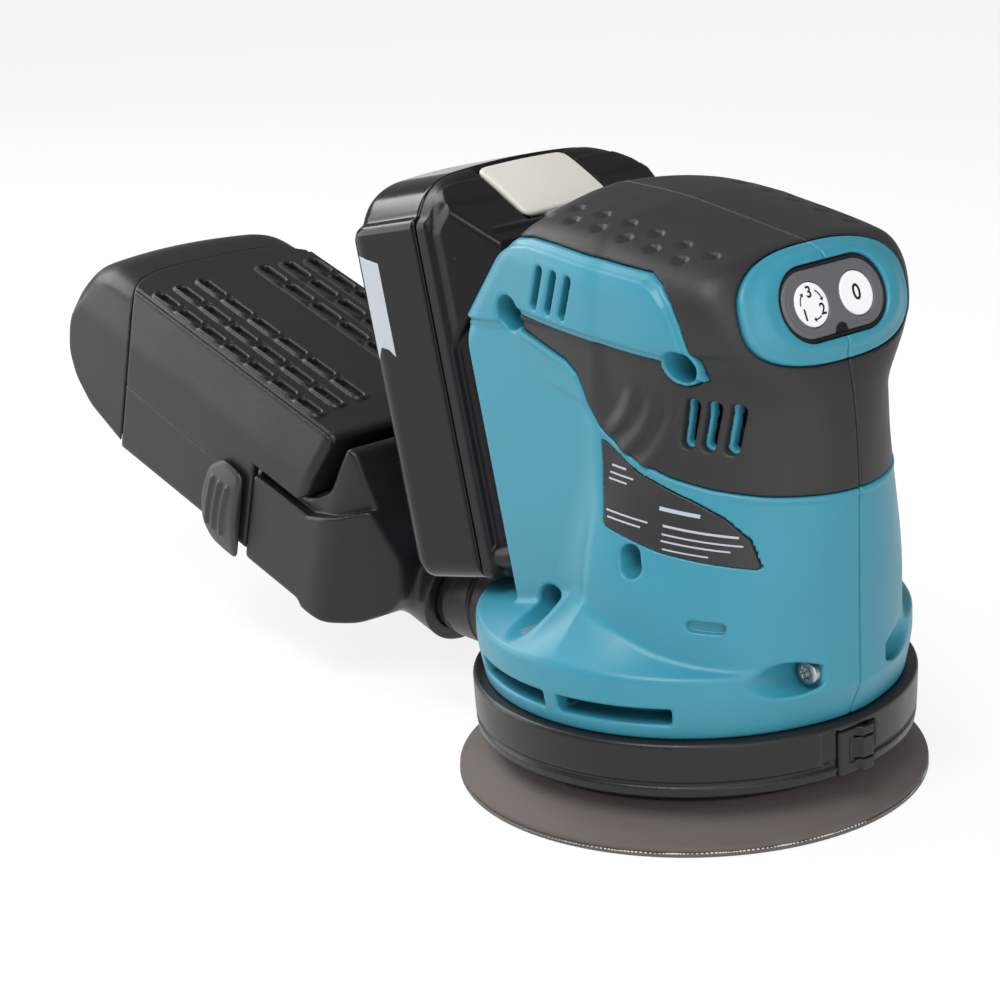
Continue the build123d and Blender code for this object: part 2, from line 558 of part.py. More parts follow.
def make_battery():
    whole = rounded_box(case_profile(), BAT_Y, 3.0)
    cavity = side_prism(offset(case_profile(), amount=-2.0), BAT_Y - 2.0)
    neck = block((BAT_FACE - 1, BAT_FACE + RAIL_LIP), (-RAIL_NECK_Y, RAIL_NECK_Y), (RAIL_BOTTOM, RAIL_TOP))
    head = block((BAT_FACE + RAIL_LIP, BAT_RAIL), (-RAIL_HEAD_Y, RAIL_HEAD_Y), (RAIL_BOTTOM, RAIL_TOP))
    ramp = side_prism(make_face(Polyline((BAT_FACE - 1, RAIL_TOP), (BAT_RAIL, RAIL_TOP),
                                         (BAT_FACE - 1, RAIL_TOP + 8.5), close=True)), RAIL_NECK_Y)
    shoulder = make_face(Polyline((BAT_FACE - 1, 126.8), (BAT_FACE + 0.2, 126.8), (1.2, 142.0),
                                  (BAT_FACE - 1, 154.0), close=True))
    case = whole - cavity + (neck + head + ramp) + side_prism(shoulder, BAT_Y - 4.0)
    latch_room = block((BAT_SEAM + 0.2, BAT_RAIL + 1), (-15.4, 15.4), (RAIL_TOP - 6, BAT_TOP + 5))
    latch_room += block((BAT_FACE + 2, BAT_RAIL + 1), (-8.4, 8.4), (RAIL_TOP - 20, RAIL_TOP))
    case -= latch_room
    heads = []
    for side in (-1, 1):
        blade_slot = (side * BLADE_Y - 1.2, side * BLADE_Y + 1.2)
        case -= block((-11.6, -6.4), blade_slot, (RAIL_BOTTOM - 1, RAIL_BOTTOM + 22))
        for z in (BAT_BOTTOM + 6, BAT_BOTTOM + 84):
            place = Pos(BAT_FACE, side * (BAT_Y - 5.0), z) * Rotation(0, 90, 0)
            boss = place * Pos(0, 0, -2.0) * Cylinder(3.6, 4.0)
            screw = place * (Pos(0, 0, -1.3) * Cylinder(2.6, 1.4) + Pos(0, 0, -3.0) * Cylinder(1.2, 2.0))
            case = case + boss - place * Pos(0, 0, -1.0) * Cylinder(2.6, 2.0)
            case -= screw
            heads.append(in_battery(screw - place * Cylinder(0.9, 2.8)))
    rear = block((-100, BAT_SEAM), (-60, 60), (0, 200))
    front = block((BAT_SEAM, 100), (-60, 60), (0, 200))
    save("battery_rear_case", in_battery(largest(case & rear)))
    save("battery_front_case", in_battery(largest(case & front)))
    save("battery_screws", *heads)
    cells = []
    for row in range(CELL_ROWS):
        for layer in (0, 1):
            place = (BAT_REAR + 11.6 + layer * CELL_PITCH, BAT_BOTTOM + 11.8 + row * CELL_PITCH)
            cells.append(cross_rod(CELL_R, *place, -CELL_L / 2, CELL_L / 2))
    save("battery_cells", *[in_battery(cell) for cell in cells])
    frames = []
    for side in (-1, 1):
        low, high = sorted((side * 26.0, side * 30.9))
        frame = block((BAT_REAR + 2.6, BAT_REAR + 38.9), (low, high), (BAT_BOTTOM + 4.6, BAT_BOTTOM + 94))
        for cell in cells:
            frame -= cell
        frames.append(in_battery(largest(frame)))
    save("cell_holder", *frames)
    make_latch()
    make_terminals()


def make_latch():
    """The release button, a thin slope that slides down the case, with its hook."""
    top, low = (BAT_SEAM + 0.6, BAT_TOP - 0.4), (BAT_FACE + 7.4, RAIL_TOP + 0.8)
    slope = make_face(Polyline(top, low, (low[0], low[1] - 3.0), (low[0] - 3.0, low[1] - 0.6),
                               (top[0], top[1] - 2.8), close=True))
    hook = block((BAT_FACE + 2.6, BAT_FACE + 7.4), (-8.0, 8.0), (RAIL_TOP - 14.0, RAIL_TOP - 1.0))
    save("release_button", in_battery(side_prism(slope, 15.0) + hook))


def make_terminals():
    """The tool's terminal block with its two blades, and the battery's spring clips on them."""
    seat = terminal_seat()
    blades, clips = [], []
    for side in (-1, 1):
        y = side * BLADE_Y
        blades.append(block((-10.6, -7.4), (y - 0.4, y + 0.4), (RAIL_BOTTOM - 3, RAIL_BOTTOM + 14)))
        for leaf in (-1, 1):
            low, high = sorted((y + leaf * 0.75, y + leaf * 1.15))
            clips.append(in_battery(block((-11.0, -7.0), (low, high), (RAIL_BOTTOM + 6, RAIL_BOTTOM + 21))))
    for blade in blades:
        seat -= blade
    save("terminal_block", in_battery(seat))
    save("terminal_blades", *[in_battery(blade) for blade in blades])
    save("battery_terminals", *clips)


def terminal_seat():
    return block((-11.0, -5.0), (-18.0, 18.0), (RAIL_BOTTOM - 5, RAIL_BOTTOM - SLIDE_GAP))


# ---- dust box -----------------------------------------------------------------------------------
def along(*points):
    """Dust box outline from (distance behind the rotor, height) points."""
    return make_face(Polyline(*[(-distance, height) for distance, height in points], close=True))


def box_outline():
    """Side view of the filter case: full depth behind the join, stepped up over the nose."""
    sill = BOX_STEP + JOIN_GAP
    return along((CAP_JOIN, BOX_BOTTOM), (CAP_JOIN, BOX_TOP), (BOX_FRONT + 6, BOX_TOP),
                 (BOX_FRONT, BOX_TOP - 2.5), (BOX_FRONT + 2.4, 26.4), (BOX_SILL, sill),
                 (BOX_JOIN + JOIN_GAP, sill), (BOX_JOIN + JOIN_GAP, BOX_BOTTOM - 2.0))


def box_front_view(inset):
    bottom, side, top = NOSE_BOTTOM - 10, BOX_Y, BOX_TOP_Y
    face = make_face(Polyline((-side, bottom), (-side, BOX_BEVEL), (-top, BOX_TOP), (top, BOX_TOP),
                              (side, BOX_BEVEL), (side, bottom), close=True))
    return extrude(Plane.YZ * (offset(face, amount=-inset) if inset else face), amount=400, both=True)


def filter_form(inset):
    """The case's outer form drawn in by inset, opened towards the nose when it is drawn in."""
    outline = box_outline()
    if inset:
        low, high = BOX_BOTTOM + inset, BOX_STEP + JOIN_GAP + inset
        outline = offset(outline, amount=-inset)
        outline += along((BOX_SILL + inset, BOX_STEP - 1), (BOX_SILL + inset, high + 1),
                         (BOX_JOIN + inset + 3, high + 1), (BOX_JOIN + inset + 3, low), (BOX_JOIN - 1, low),
                         (BOX_JOIN - 1, BOX_STEP - 1))
    return side_prism(outline, 60) & box_front_view(inset)


def grille_slots():
    slots = []
    for y, start, pitch, length, count in GRILLE_ROWS:
        for column in range(count):
            cut = extrude(SlotOverall(length, GRILLE_WIDTH), amount=8, both=True)
            distance = start + column * pitch
            slots += [Pos(-distance, side * y, BOX_TOP) * cut for side in (1, -1)]
    return slots


def make_dust_box():
    case = (filter_form(0) - filter_form(BOX_WALL)) - grille_slots()
    save("dust_case", in_dust_box(case))
    paper_in = BOX_WALL + PAPER_GAP
    trim = block((-CAP_JOIN, -BOX_SILL), (-60, 60), (BOX_STEP + 1, BOX_TOP))
    trim += block((-CAP_JOIN, -BOX_JOIN - 1), (-60, 60), (BOX_BOTTOM, BOX_TOP))
    save("paper_filter", in_dust_box((filter_form(paper_in) & trim) - filter_form(paper_in + PAPER_T)))
    cap = side_prism(cap_outline(), 60) & extrude(cap_plan(), amount=200, both=True)
    hollow = side_prism(offset(cap_outline(), amount=-2.5), 60)
    hollow &= extrude(offset(cap_plan(), amount=-2.5), amount=200, both=True)
    save("dust_box_cap", in_dust_box(cap - hollow))
    make_nose()
    make_clips()


def cap_outline():
    return along((CAP_JOIN, BOX_BOTTOM), (CAP_JOIN, BOX_TOP), (231.0, BOX_TOP), (240.0, 41.0), (248.5, 37.2),
                 (253.5, 30.5), (CAP_REAR, 18.5), (255.6, 9.0), (250.5, 1.5), (241.0, -4.5))


def cap_plan():
    half = [(CAP_JOIN, 36.9), (240.0, 36.4), (248.0, 32.0), (253.5, 20.0)]
    mirrored = [(distance, -y) for distance, y in reversed(half)]
    return along(*half, (CAP_REAR, 0.0), *mirrored)


def nose_outline():
    """Side view of the nose: up the front of the filter case, under its sill and back to the join."""
    sill = [(BOX_JOIN, BOX_STEP), (BOX_SILL - JOIN_GAP, BOX_STEP), (BOX_FRONT + 1.8, 26.0)]
    front = [(BOX_FRONT - 1.2, 37.5), (114.6, 39.6), (110.5, 33.5), (104.0, 22.0), (98.8, 12.0), (97.6, 0.0)]
    foot = [(100.2, -6.0), (106.0, -10.8), (114.0, -13.4), (123.5, -13.2), (125.0, NOSE_BOTTOM)]
    return along(*sill, *front, *foot, (BOX_JOIN, NOSE_BOTTOM))


def nose_plan(inset):
    half = [(160.0, BOX_Y), (122.0, BOX_Y), (110.0, 33.0), (101.0, 24.0), (97.0, 10.0)]
    outline = along(*half, *[(distance, -y) for distance, y in reversed(half)])
    return extrude(offset(outline, amount=-inset) if inset else outline, amount=200, both=True)


def along_rod(radius, start, end, height=COLLAR_N):
    """A cylinder along the dust box's length."""
    return Pos(-(start + end) / 2, 0, height) * Rotation(0, 90, 0) * Cylinder(radius, end - start)


def make_nose():
    """The case that plugs onto the nozzle and opens into the filter case."""
    outer = side_prism(nose_outline(), 60) & nose_plan(0)
    hollow = side_prism(offset(nose_outline(), amount=-BOX_WALL), 60)
    floor, behind = NOSE_BOTTOM + BOX_WALL, BOX_JOIN + 1
    mouth = along((BOX_SILL + 1.6, BOX_STEP - 4), (BOX_SILL + 1.6, BOX_STEP + 1), (behind, BOX_STEP + 1),
                  (behind, floor), (BOX_JOIN - 4, floor), (BOX_JOIN - 4, BOX_STEP - 4))
    hollow += side_prism(mouth, BOX_Y)
    hollow &= nose_plan(BOX_WALL)
    start, end, outer_r = COLLAR
    nose = outer - hollow + along_rod(outer_r, start, end)
    nose -= along_rod(NOZZLE_R + 0.3, start - 1, end + 18)
    groove = along_rod(outer_r - 1.4, start + 3, start + 6)
    nose -= groove
    save("collar_seal", in_dust_box(groove - along_rod(NOZZLE_R + 0.05, start, end)))
    for side in (-1, 1):
        tongue = sorted((side * 35.9, side * 40))
        nose -= block((-BOX_JOIN - 1, -LATCH[0] + 2.0), tongue, (LATCH[2] + 3, LATCH[3] - 3))
    save("dust_nose", in_dust_box(nose))


def make_clips():
    """Side clips, hinged on the filter case and hooked into the nose."""
    front, rear, low, high = LATCH
    for side, name in ((-1, "right_clip"), (1, "left_clip")):
        inner, outer = side * (BOX_Y + 0.4), side * (BOX_Y + 2.8)
        clip = block((-rear, -front + 1.6), sorted((inner, outer)), (low, high - 2.0))
        clip += block((-front - 1.0, -front + 1.6), sorted((side * 36.2, outer)), (low + 3.5, high - 4.5))
        groove = sorted((outer - side * 0.6, outer + side))
        for distance in (154.0, 158.0, 162.0):
            clip -= block((-distance - 0.6, -distance + 0.6), groove, (low + 8, high - 8))
        save(name, in_dust_box(clip))


make_pad()
make_rotor()
make_motor()
make_housing()
make_skirt()
make_panel()
make_battery()
make_dust_box()
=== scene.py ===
import json
from math import cos, pi, radians, sin

import bmesh
import bpy
import numpy as np
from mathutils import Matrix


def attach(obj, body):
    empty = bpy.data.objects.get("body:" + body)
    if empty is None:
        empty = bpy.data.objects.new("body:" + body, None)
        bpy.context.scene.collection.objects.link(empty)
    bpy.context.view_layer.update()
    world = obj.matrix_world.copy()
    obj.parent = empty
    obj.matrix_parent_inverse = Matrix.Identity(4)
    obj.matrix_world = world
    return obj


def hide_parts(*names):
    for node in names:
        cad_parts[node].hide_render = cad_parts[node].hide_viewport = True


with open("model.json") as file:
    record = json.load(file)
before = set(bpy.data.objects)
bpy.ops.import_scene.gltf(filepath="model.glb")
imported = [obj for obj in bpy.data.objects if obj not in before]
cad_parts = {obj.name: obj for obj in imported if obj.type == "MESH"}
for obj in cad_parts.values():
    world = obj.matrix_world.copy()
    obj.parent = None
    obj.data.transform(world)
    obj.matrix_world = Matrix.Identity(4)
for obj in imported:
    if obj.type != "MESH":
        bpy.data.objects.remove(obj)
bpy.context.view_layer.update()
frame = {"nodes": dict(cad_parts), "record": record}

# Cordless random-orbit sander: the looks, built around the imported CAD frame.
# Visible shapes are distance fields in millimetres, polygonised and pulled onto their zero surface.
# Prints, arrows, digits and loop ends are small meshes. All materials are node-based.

import openvdb
from mathutils import Matrix, Vector
from numpy import maximum, minimum, sqrt

MM = 0.001
STEP = 0.5      # grid pitch of the fields
NODES = frame["nodes"]

AXIS_X = 1.4                           # spindle axis, about which the ring and the foot are round
BATTERY_TILT = radians(13.0)
DUST_TILT = radians(16.0)
PANEL_LEAN = radians(21.8)
PANEL_POINT = (51.94, 132.8)           # x and z of the switch panel's middle
SPECK_VERTS = 150                      # islands with fewer vertices than this are dropped


# ---- distance fields ----
def smin(a, b, k):
    """Union of two fields with a fillet about k wide."""
    h = np.clip(0.5 + 0.5 * (b - a) / k, 0.0, 1.0)
    return b + (a - b) * h - k * h * (1.0 - h)


def smax(a, b, k):
    """Intersection of two fields with a rounded edge about k wide."""
    return -smin(-a, -b, k)


def ramp(value, start, end):
    """Smooth step from 0 at start to 1 at end."""
    t = np.clip((value - start) / (end - start), 0.0, 1.0)
    return t * t * (3.0 - 2.0 * t)


def box(x, y, z, centre, half, radius):
    """Distance to a box with rounded edges."""
    q = [abs(v - c) - (h - radius) for v, c, h in zip((x, y, z), centre, half)]
    outside = sqrt(sum(maximum(v, 0.0) ** 2 for v in q))
    return outside + minimum(maximum(maximum(q[0], q[1]), q[2]), 0.0) - radius


def outline(points, u, v):
    """Distance from (u, v) to a closed outline, negative inside."""
    near, flip = None, None
    for (au, av), (bu, bv) in zip(points, points[1:] + points[:1]):
        eu, ev, wu, wv = bu - au, bv - av, u - au, v - av
        t = np.clip((wu * eu + wv * ev) / (eu * eu + ev * ev), 0.0, 1.0)
        gap = (wu - eu * t) ** 2 + (wv - ev * t) ** 2
        near = gap if near is None else minimum(near, gap)
        above, below, left = v >= av, v < bv, eu * wv > ev * wu
        cross = (above & below & left) | (~above & ~below & ~left)
        flip = cross if flip is None else flip ^ cross
    return sqrt(near) * np.where(flip, -1.0, 1.0)


def rounded(points, corner, count=4):
    """Replaces each corner of an outline with a short curve that starts corner away from it."""
    result = []
    for before, here, after in zip(points[-1:] + points[:-1], points, points[1:] + points[:1]):
        here = np.array(here)
        arms = []
        for other in (before, after):
            arm = np.array(other) - here
            length = np.hypot(*arm)
            arms.append(here + arm / length * min(corner, length * 0.45))
        for index in range(count + 1):
            t = index / count
            result.append(tuple((1 - t) ** 2 * arms[0] + 2 * t * (1 - t) * here + t * t * arms[1]))
    return result


def carve(name, form, low, high, place=None, step=STEP):
    """Polygonises the zero surface of form(x, y, z) inside the box from low to high."""
    counts = [int((h - l) / step) + 2 for l, h in zip(low, high)]
    axes = [l + step * np.arange(n, dtype=np.float32) for l, n in zip(low, counts)]
    grid_axes = (axes[0][:, None, None], axes[1][None, :, None], axes[2][None, None, :])
    field = np.broadcast_to(form(*grid_axes), counts).astype(np.float32)
    grid = openvdb.FloatGrid(background=3.0 * step)
    grid.copyFromArray(np.clip(field, -3.0 * step, 3.0 * step))
    points, _, quads = grid.convertToPolygons(isovalue=0.0)
    points = np.asarray(low) + points.astype(np.float64) * step
    points = settle(points, form, step)
    mesh = bpy.data.meshes.new(name)
    if place is not None:
        turn = np.array(place)
        points = points @ turn[:3, :3].T + turn[:3, 3]
    mesh.from_pydata((points * MM).tolist(), [], quads[:, ::-1].tolist())
    keep_large_islands(mesh)
    mesh.polygons.foreach_set("use_smooth", [True] * len(mesh.polygons))
    return add(name, mesh)


def settle(points, form, step):
    """Moves each point along the field's slope onto its zero surface."""
    h = 0.05
    for _ in range(2):
        x, y, z = points.T
        here = form(x, y, z)
        beside = (form(x + h, y, z), form(x, y + h, z), form(x, y, z + h))
        slope = np.stack([value - here for value in beside], 1) / h
        size = maximum((slope ** 2).sum(1), 0.2)
        move = slope * (here / size)[:, None]
        length = maximum(sqrt((move ** 2).sum(1)), 1e-9)
        points = points - move * minimum(1.0, 0.45 * step / length)[:, None]
    return points


def keep_large_islands(mesh):
    """Deletes loose specks, which a field can leave beside a thin edge."""
    form = bmesh.new()
    form.from_mesh(mesh)
    form.verts.ensure_lookup_table()
    seen, specks = set(), []
    for start in form.verts:
        if start.index in seen:
            continue
        island, queue = [], [start]
        seen.add(start.index)
        while queue:
            vert = queue.pop()
            island.append(vert)
            for edge in vert.link_edges:
                other = edge.other_vert(vert)
                if other.index not in seen:
                    seen.add(other.index)
                    queue.append(other)
        if len(island) < SPECK_VERTS:
            specks += island
    bmesh.ops.delete(form, geom=specks, context="VERTS")
    bmesh.ops.recalc_face_normals(form, faces=form.faces)
    form.to_mesh(mesh)
    form.free()


def add(name, mesh):
    """Adds a mesh to the scene as a piece."""
    piece = bpy.data.objects.new(name, mesh)
    bpy.context.scene.collection.objects.link(piece)
    return piece


def finish_piece(piece, body, material, slot, *nodes):
    """Rides a piece on its body, gives it its material and hides the CAD nodes it stands for."""
    piece.data.materials.clear()
    piece.data.materials.append(material)
    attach(piece, body)
    if nodes:
        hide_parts(*nodes)
    return piece


def carve_piece(name, form, low, high, body, material, slot, *nodes, place=None, step=STEP):
    """Carves a field and finishes the piece."""
    return finish_piece(carve(name, form, low, high, place, step), body, material, slot, *nodes)


def mesh_of(name, form, place=None):
    """Turns a bmesh in millimetres into a placed mesh in metres."""
    form.transform(Matrix.Scale(MM, 4) @ place if place is not None else Matrix.Scale(MM, 4))
    mesh = bpy.data.meshes.new(name)
    form.to_mesh(mesh)
    form.free()
    return mesh


def extrude(form, faces, offset):
    """Gives flat faces a thickness along offset."""
    made = bmesh.ops.extrude_face_region(form, geom=faces)["geom"]
    moved = [item for item in made if isinstance(item, bmesh.types.BMVert)]
    bmesh.ops.translate(form, verts=moved, vec=offset)
    bmesh.ops.recalc_face_normals(form, faces=form.faces)


# ---- materials ----
DRIFT_SIZE = 14.0       # millimetres over which colour and roughness drift
ROUGH_DRIFT = 0.04


def moulded(name, colour, rough, grain, bump, mottle=0.05, metallic=0.0, specular=0.5):
    """Moulded or cast surface: fine grain in the bump, slow drift in colour and roughness."""
    material = bpy.data.materials.new(name)
    material.use_nodes = True
    nodes, links = material.node_tree.nodes, material.node_tree.links
    shader = nodes["Principled BSDF"]
    shader.inputs["Metallic"].default_value = metallic
    shader.inputs["Specular IOR Level"].default_value = specular
    place = nodes.new("ShaderNodeTexCoord")

    def noise(size_mm, detail):
        """Noise with features about size_mm wide."""
        texture = nodes.new("ShaderNodeTexNoise")
        texture.inputs["Scale"].default_value = 1.0 / (size_mm * MM)
        texture.inputs["Detail"].default_value = detail
        links.new(place.outputs["Object"], texture.inputs["Vector"])
        return texture

    def spread(texture, low, high):
        """Maps a noise texture's middle range to low and high."""
        remap = nodes.new("ShaderNodeMapRange")
        remap.inputs["From Min"].default_value = 0.3
        remap.inputs["From Max"].default_value = 0.7
        remap.inputs["To Min"].default_value = low
        remap.inputs["To Max"].default_value = high
        links.new(texture.outputs["Fac"], remap.inputs["Value"])
        return remap

    fine, slow = noise(grain, 2.0), noise(DRIFT_SIZE, 3.0)
    mix = nodes.new("ShaderNodeMix")
    mix.data_type = "RGBA"
    mix.inputs["A"].default_value = (*[c * (1.0 - mottle) for c in colour], 1.0)
    mix.inputs["B"].default_value = (*[min(1.0, c * (1.0 + mottle)) for c in colour], 1.0)
    links.new(slow.outputs["Fac"], mix.inputs["Factor"])
    links.new(mix.outputs["Result"], shader.inputs["Base Color"])
    uneven = spread(slow, rough - ROUGH_DRIFT, rough + ROUGH_DRIFT)
    links.new(uneven.outputs["Result"], shader.inputs["Roughness"])
    relief = nodes.new("ShaderNodeBump")
    relief.inputs["Strength"].default_value = bump
    relief.inputs["Distance"].default_value = grain * 0.3 * MM
    links.new(fine.outputs["Fac"], relief.inputs["Height"])
    links.new(relief.outputs["Normal"], shader.inputs["Normal"])
    return material


TEAL = moulded("teal_nylon", (0.030, 0.235, 0.325), 0.42, 0.5, 0.12)
GRIP = moulded("grip_rubber", (0.017, 0.0165, 0.0175), 0.52, 0.4, 0.35, specular=0.45)
BLACK = moulded("black_nylon", (0.011, 0.011, 0.012), 0.36, 0.5, 0.15, specular=0.36)
DUST = moulded("dust_box_nylon", (0.011, 0.011, 0.012), 0.40, 0.32, 0.5, specular=0.36)
GLOSS = moulded("battery_gloss", (0.004, 0.004, 0.005), 0.14, 0.8, 0.02, specular=0.22)
SATIN = moulded("battery_satin", (0.008, 0.008, 0.009), 0.34, 0.4, 0.1, specular=0.2)
RELEASE = moulded("release_grey", (0.62, 0.60, 0.56), 0.38, 0.3, 0.2)
WHITE = moulded("button_white", (0.80, 0.82, 0.82), 0.35, 0.4, 0.08)
PANEL = moulded("panel_grey", (0.105, 0.105, 0.115), 0.42, 0.3, 0.2)
INK = moulded("printed_ink", (0.008, 0.008, 0.009), 0.5, 0.3, 0.05, specular=0.25)
PRINT = moulded("printed_grey", (0.42, 0.45, 0.49), 0.45, 0.3, 0.05)
CLIP = moulded("clip_nylon", (0.026, 0.026, 0.028), 0.4, 0.4, 0.2)
LABEL = moulded("label_film", (0.020, 0.020, 0.021), 0.4, 0.3, 0.05)
FOAM = moulded("pad_foam", (0.10, 0.083, 0.076), 0.75, 0.7, 0.5, 0.14)
FLEECE = moulded("hook_loops", (0.60, 0.59, 0.57), 0.9, 0.4, 0.5)
SCREW = moulded("screw_steel", (0.45, 0.45, 0.46), 0.32, 0.4, 0.1, metallic=1.0)
BRIGHT = moulded("ground_steel", (0.62, 0.63, 0.64), 0.22, 0.5, 0.05, metallic=1.0)
CAST = moulded("die_cast", (0.55, 0.56, 0.57), 0.45, 0.6, 0.3, metallic=1.0)
COPPER = moulded("enamelled_copper", (0.62, 0.26, 0.11), 0.33, 0.5, 0.2, metallic=0.9)
PAPER = moulded("filter_paper", (0.72, 0.68, 0.60), 0.85, 0.6, 0.6)
BOARD = moulded("solder_mask", (0.02, 0.14, 0.06), 0.3, 0.5, 0.2)
FERRITE = moulded("ferrite", (0.05, 0.05, 0.055), 0.6, 0.5, 0.3)
SLEEVE = moulded("cell_sleeve", (0.06, 0.20, 0.42), 0.3, 0.5, 0.05)


# ---- housing ----
def battery_axes(x, z):
    """Depth and length in the leaning battery's own axes."""
    c, s = cos(BATTERY_TILT), sin(BATTERY_TILT)
    return x * c + z * s, -x * s + z * c


def panel_axes(x, z):
    """Height above the switch panel's face, and distance up it."""
    c, s = cos(PANEL_LEAN), sin(PANEL_LEAN)
    dx, dz = x - PANEL_POINT[0], z - PANEL_POINT[1]
    return dx * c + dz * s, -dx * s + dz * c


# Outlines in the side view, as (x, z).
NECK_LOW = [(75.0, 86.8), (60.0, 87.6), (50.0, 88.4), (40.0, 89.8), (30.0, 91.8), (20.0, 95.0),
            (15.0, 97.5), (10.0, 101.5), (6.8, 105.8), (4.6, 110.0), (2.4, 113.4), (-1.5, 116.0),
            (-10.0, 118.4), (-18.0, 120.6)]
WING_LOW = [(-18.0, 125.0), (-10.0, 124.2), (0.0, 123.4), (10.0, 122.7), (20.0, 122.0),
            (31.0, 121.3), (40.8, 116.6)]
WING_TOP = [(38.6, 125.0), (37.0, 130.6), (34.5, 135.6), (31.0, 139.3), (27.0, 141.4),
            (15.0, 142.2), (5.0, 143.0), (-5.0, 143.9), (-14.0, 144.3), (-20.0, 143.4),
            (-25.0, 141.3), (-30.0, 138.4), (-38.0, 133.2), (-48.0, 126.0)]
RUBBER_OUTLINE = NECK_LOW + WING_LOW + WING_TOP + [(-48.0, 175.0), (75.0, 175.0)]
WING_REAR = [(-50.0, 118.0), (-26.0, 120.0), (-18.0, 125.0)]
WING_OUTLINE = WING_REAR + WING_LOW[1:] + WING_TOP + [(-50.0, 124.0)]
LABEL_OUTLINE = rounded([(10.4, 98.6), (11.4, 88.0), (13.2, 78.0), (30.0, 74.0), (50.6, 71.0),
                         (48.4, 78.0), (43.5, 83.0), (37.0, 86.4), (30.0, 88.9), (21.0, 92.0),
                         (14.6, 96.2)], 1.2)
LABEL_THICK = 0.9

# Screw holes, as x, z, radius and the floor's distance from the middle plane.
SCREW_HOLES = [(-21.8, 124.6, 4.5, 30.0), (35.6, 120.2, 4.0, 22.5), (54.2, 42.4, 4.3, 11.0),
               (-10.5, 50.6, 4.9, 30.0)]
SIDE_SCREW = (22.4, 70.5)              # the one in a slanted hole, under the label
SIDE_FLOOR = 32.0
SIDE_TILT = radians(-14)

# Heights of the crown along x, and slope of the foot's shelf along x.
CROWN_X = [-40.0, -23.0, -5.0, 5.0, 22.0, 44.0, 60.0]
CROWN_Z = [149.4, 151.9, 151.5, 150.8, 148.5, 145.3, 142.5]
SHELF_X = [-40.0, -18.0, -3.0, 8.5, 20.0, 30.0, 40.0, 55.0]
SHELF_SLOPE = [0.2, 0.35, 0.58, 1.12, 0.88, 0.57, 0.37, 0.3]

# Vents: middle (x, z) of each, and half width and half length.
NECK_VENTS = ((34.8, 105.5), (39.4, 105.1), (44.2, 104.6))
HEAD_VENTS = ((-9.3, 133.2), (-4.0, 132.7), (1.3, 132.2))
VENT_HALF = (1.25, 5.9)
FOOT_WINDOWS = ((243.0, 274.2), (278.6, 310.5))     # bearings from the spindle, in degrees


def body_form(x, y, z):
    """The housing's outer form: waisted oval column, boxier head, leaning bezel and flared foot."""
    side = abs(y)
    half = 44.0 - 7.0 * ramp(z, 58.0, 100.0) + 1.5 * ramp(z, 110.0, 126.0)
    power = 2.0 + 1.1 * ramp(z, 107.0, 130.0)
    reach = 52.0 - 1.0 * ramp(z, 84.0, 112.0)
    dx = x - 8.0
    size = ((abs(dx) / reach) ** power + (side / half) ** power) ** (1.0 / power)
    radius = sqrt(dx * dx + y * y)
    column = radius * (1.0 - 1.0 / maximum(size, 0.05))
    rear_wall = -0.54 * (x - 9.0) + 0.84 * (side - half) - 30.0 * ramp(z, 104.0, 120.0)
    column = smax(column, rear_wall, 1.2)
    cheek = box(x, y, z, (-22.0, 0.0, 110.0), (34.0, 37.4, 90.0), 5.0)
    form = smin(column, cheek, 4.0)
    n, s = battery_axes(x, z)
    form = smax(form, -(n + 13.4), 1.6)
    top = np.interp(x, CROWN_X, CROWN_Z).astype(np.float32)
    crown = (z - top + 0.0058 * maximum(side - 6.0, 0.0) ** 2) * 0.96
    tail = (x + 41.0) * -0.80 + (z - 119.2) * 0.60 - maximum(30.0 - side, 0.0) * 0.22
    lift, _ = panel_axes(x, z)
    front = lift + 0.0022 * y * y
    form = smax(smax(form, crown, 9.0), tail, 6.0)
    form = smax(form, front, 6.0)
    form = form + 0.42 * maximum(38.0 - z, 0.0)
    ring = sqrt((x - AXIS_X) ** 2 + y * y)
    slope = np.interp(x, SHELF_X, SHELF_SLOPE).astype(np.float32)
    shelf = (z - 44.6 - slope * (56.0 - ring)) / sqrt(1.0 + slope * slope)
    wall = ring - 54.2 - 1.9 * ramp(z, 26.0, 40.0)
    flare = smax(wall, shelf, 1.2)
    return smax(smin(form, flare, 1.6), 28.5 - z, 0.6)


def bezel_form(x, y, z):
    """Negative inside the teal oval round the switch panel."""
    lift, up = panel_axes(x, z)
    ring = ((abs(y) / 27.9) ** 2.5 + (abs(up) / 14.6) ** 2.5) ** 0.4
    return maximum((ring - 1.0) * 14.6, -18.0 - lift)


def rubber_mask(x, y, z):
    """Negative where the overmoulded rubber lies."""
    boss = sqrt((x - 35.6) ** 2 + (z - 120.2) ** 2) - 4.9
    mask = maximum(outline(RUBBER_OUTLINE, x, z), -boss)
    return maximum(mask, -bezel_form(x, y, z))


def slot_form(x, z, centre, half, tilt):
    """A slanted slot in the side view, rounded at its ends."""
    c, s = cos(tilt), sin(tilt)
    dx, dz = x - centre[0], z - centre[1]
    u, v = dx * c - dz * s, dx * s + dz * c
    q = maximum(abs(v) - half[1] + half[0], 0.0)
    return sqrt(u * u + q * q) - half[0]


def vents(x, z, middles, tilt, grow=0.0):
    """Three slanted slots side by side."""
    half = (VENT_HALF[0] + grow, VENT_HALF[1] + grow)
    slots = [slot_form(x, z, middle, half, tilt) for middle in middles]
    return minimum(minimum(slots[0], slots[1]), slots[2])


def neck_slots(x, z, grow=0.0):
    """The three vents through the rubber, kept off the wing above."""
    return vents(x, z, NECK_VENTS, radians(8), grow) + 40.0 * (z > 116.0)


def head_slots(x, z):
    """The three vents in the wing."""
    return vents(x, z, HEAD_VENTS, radians(17))


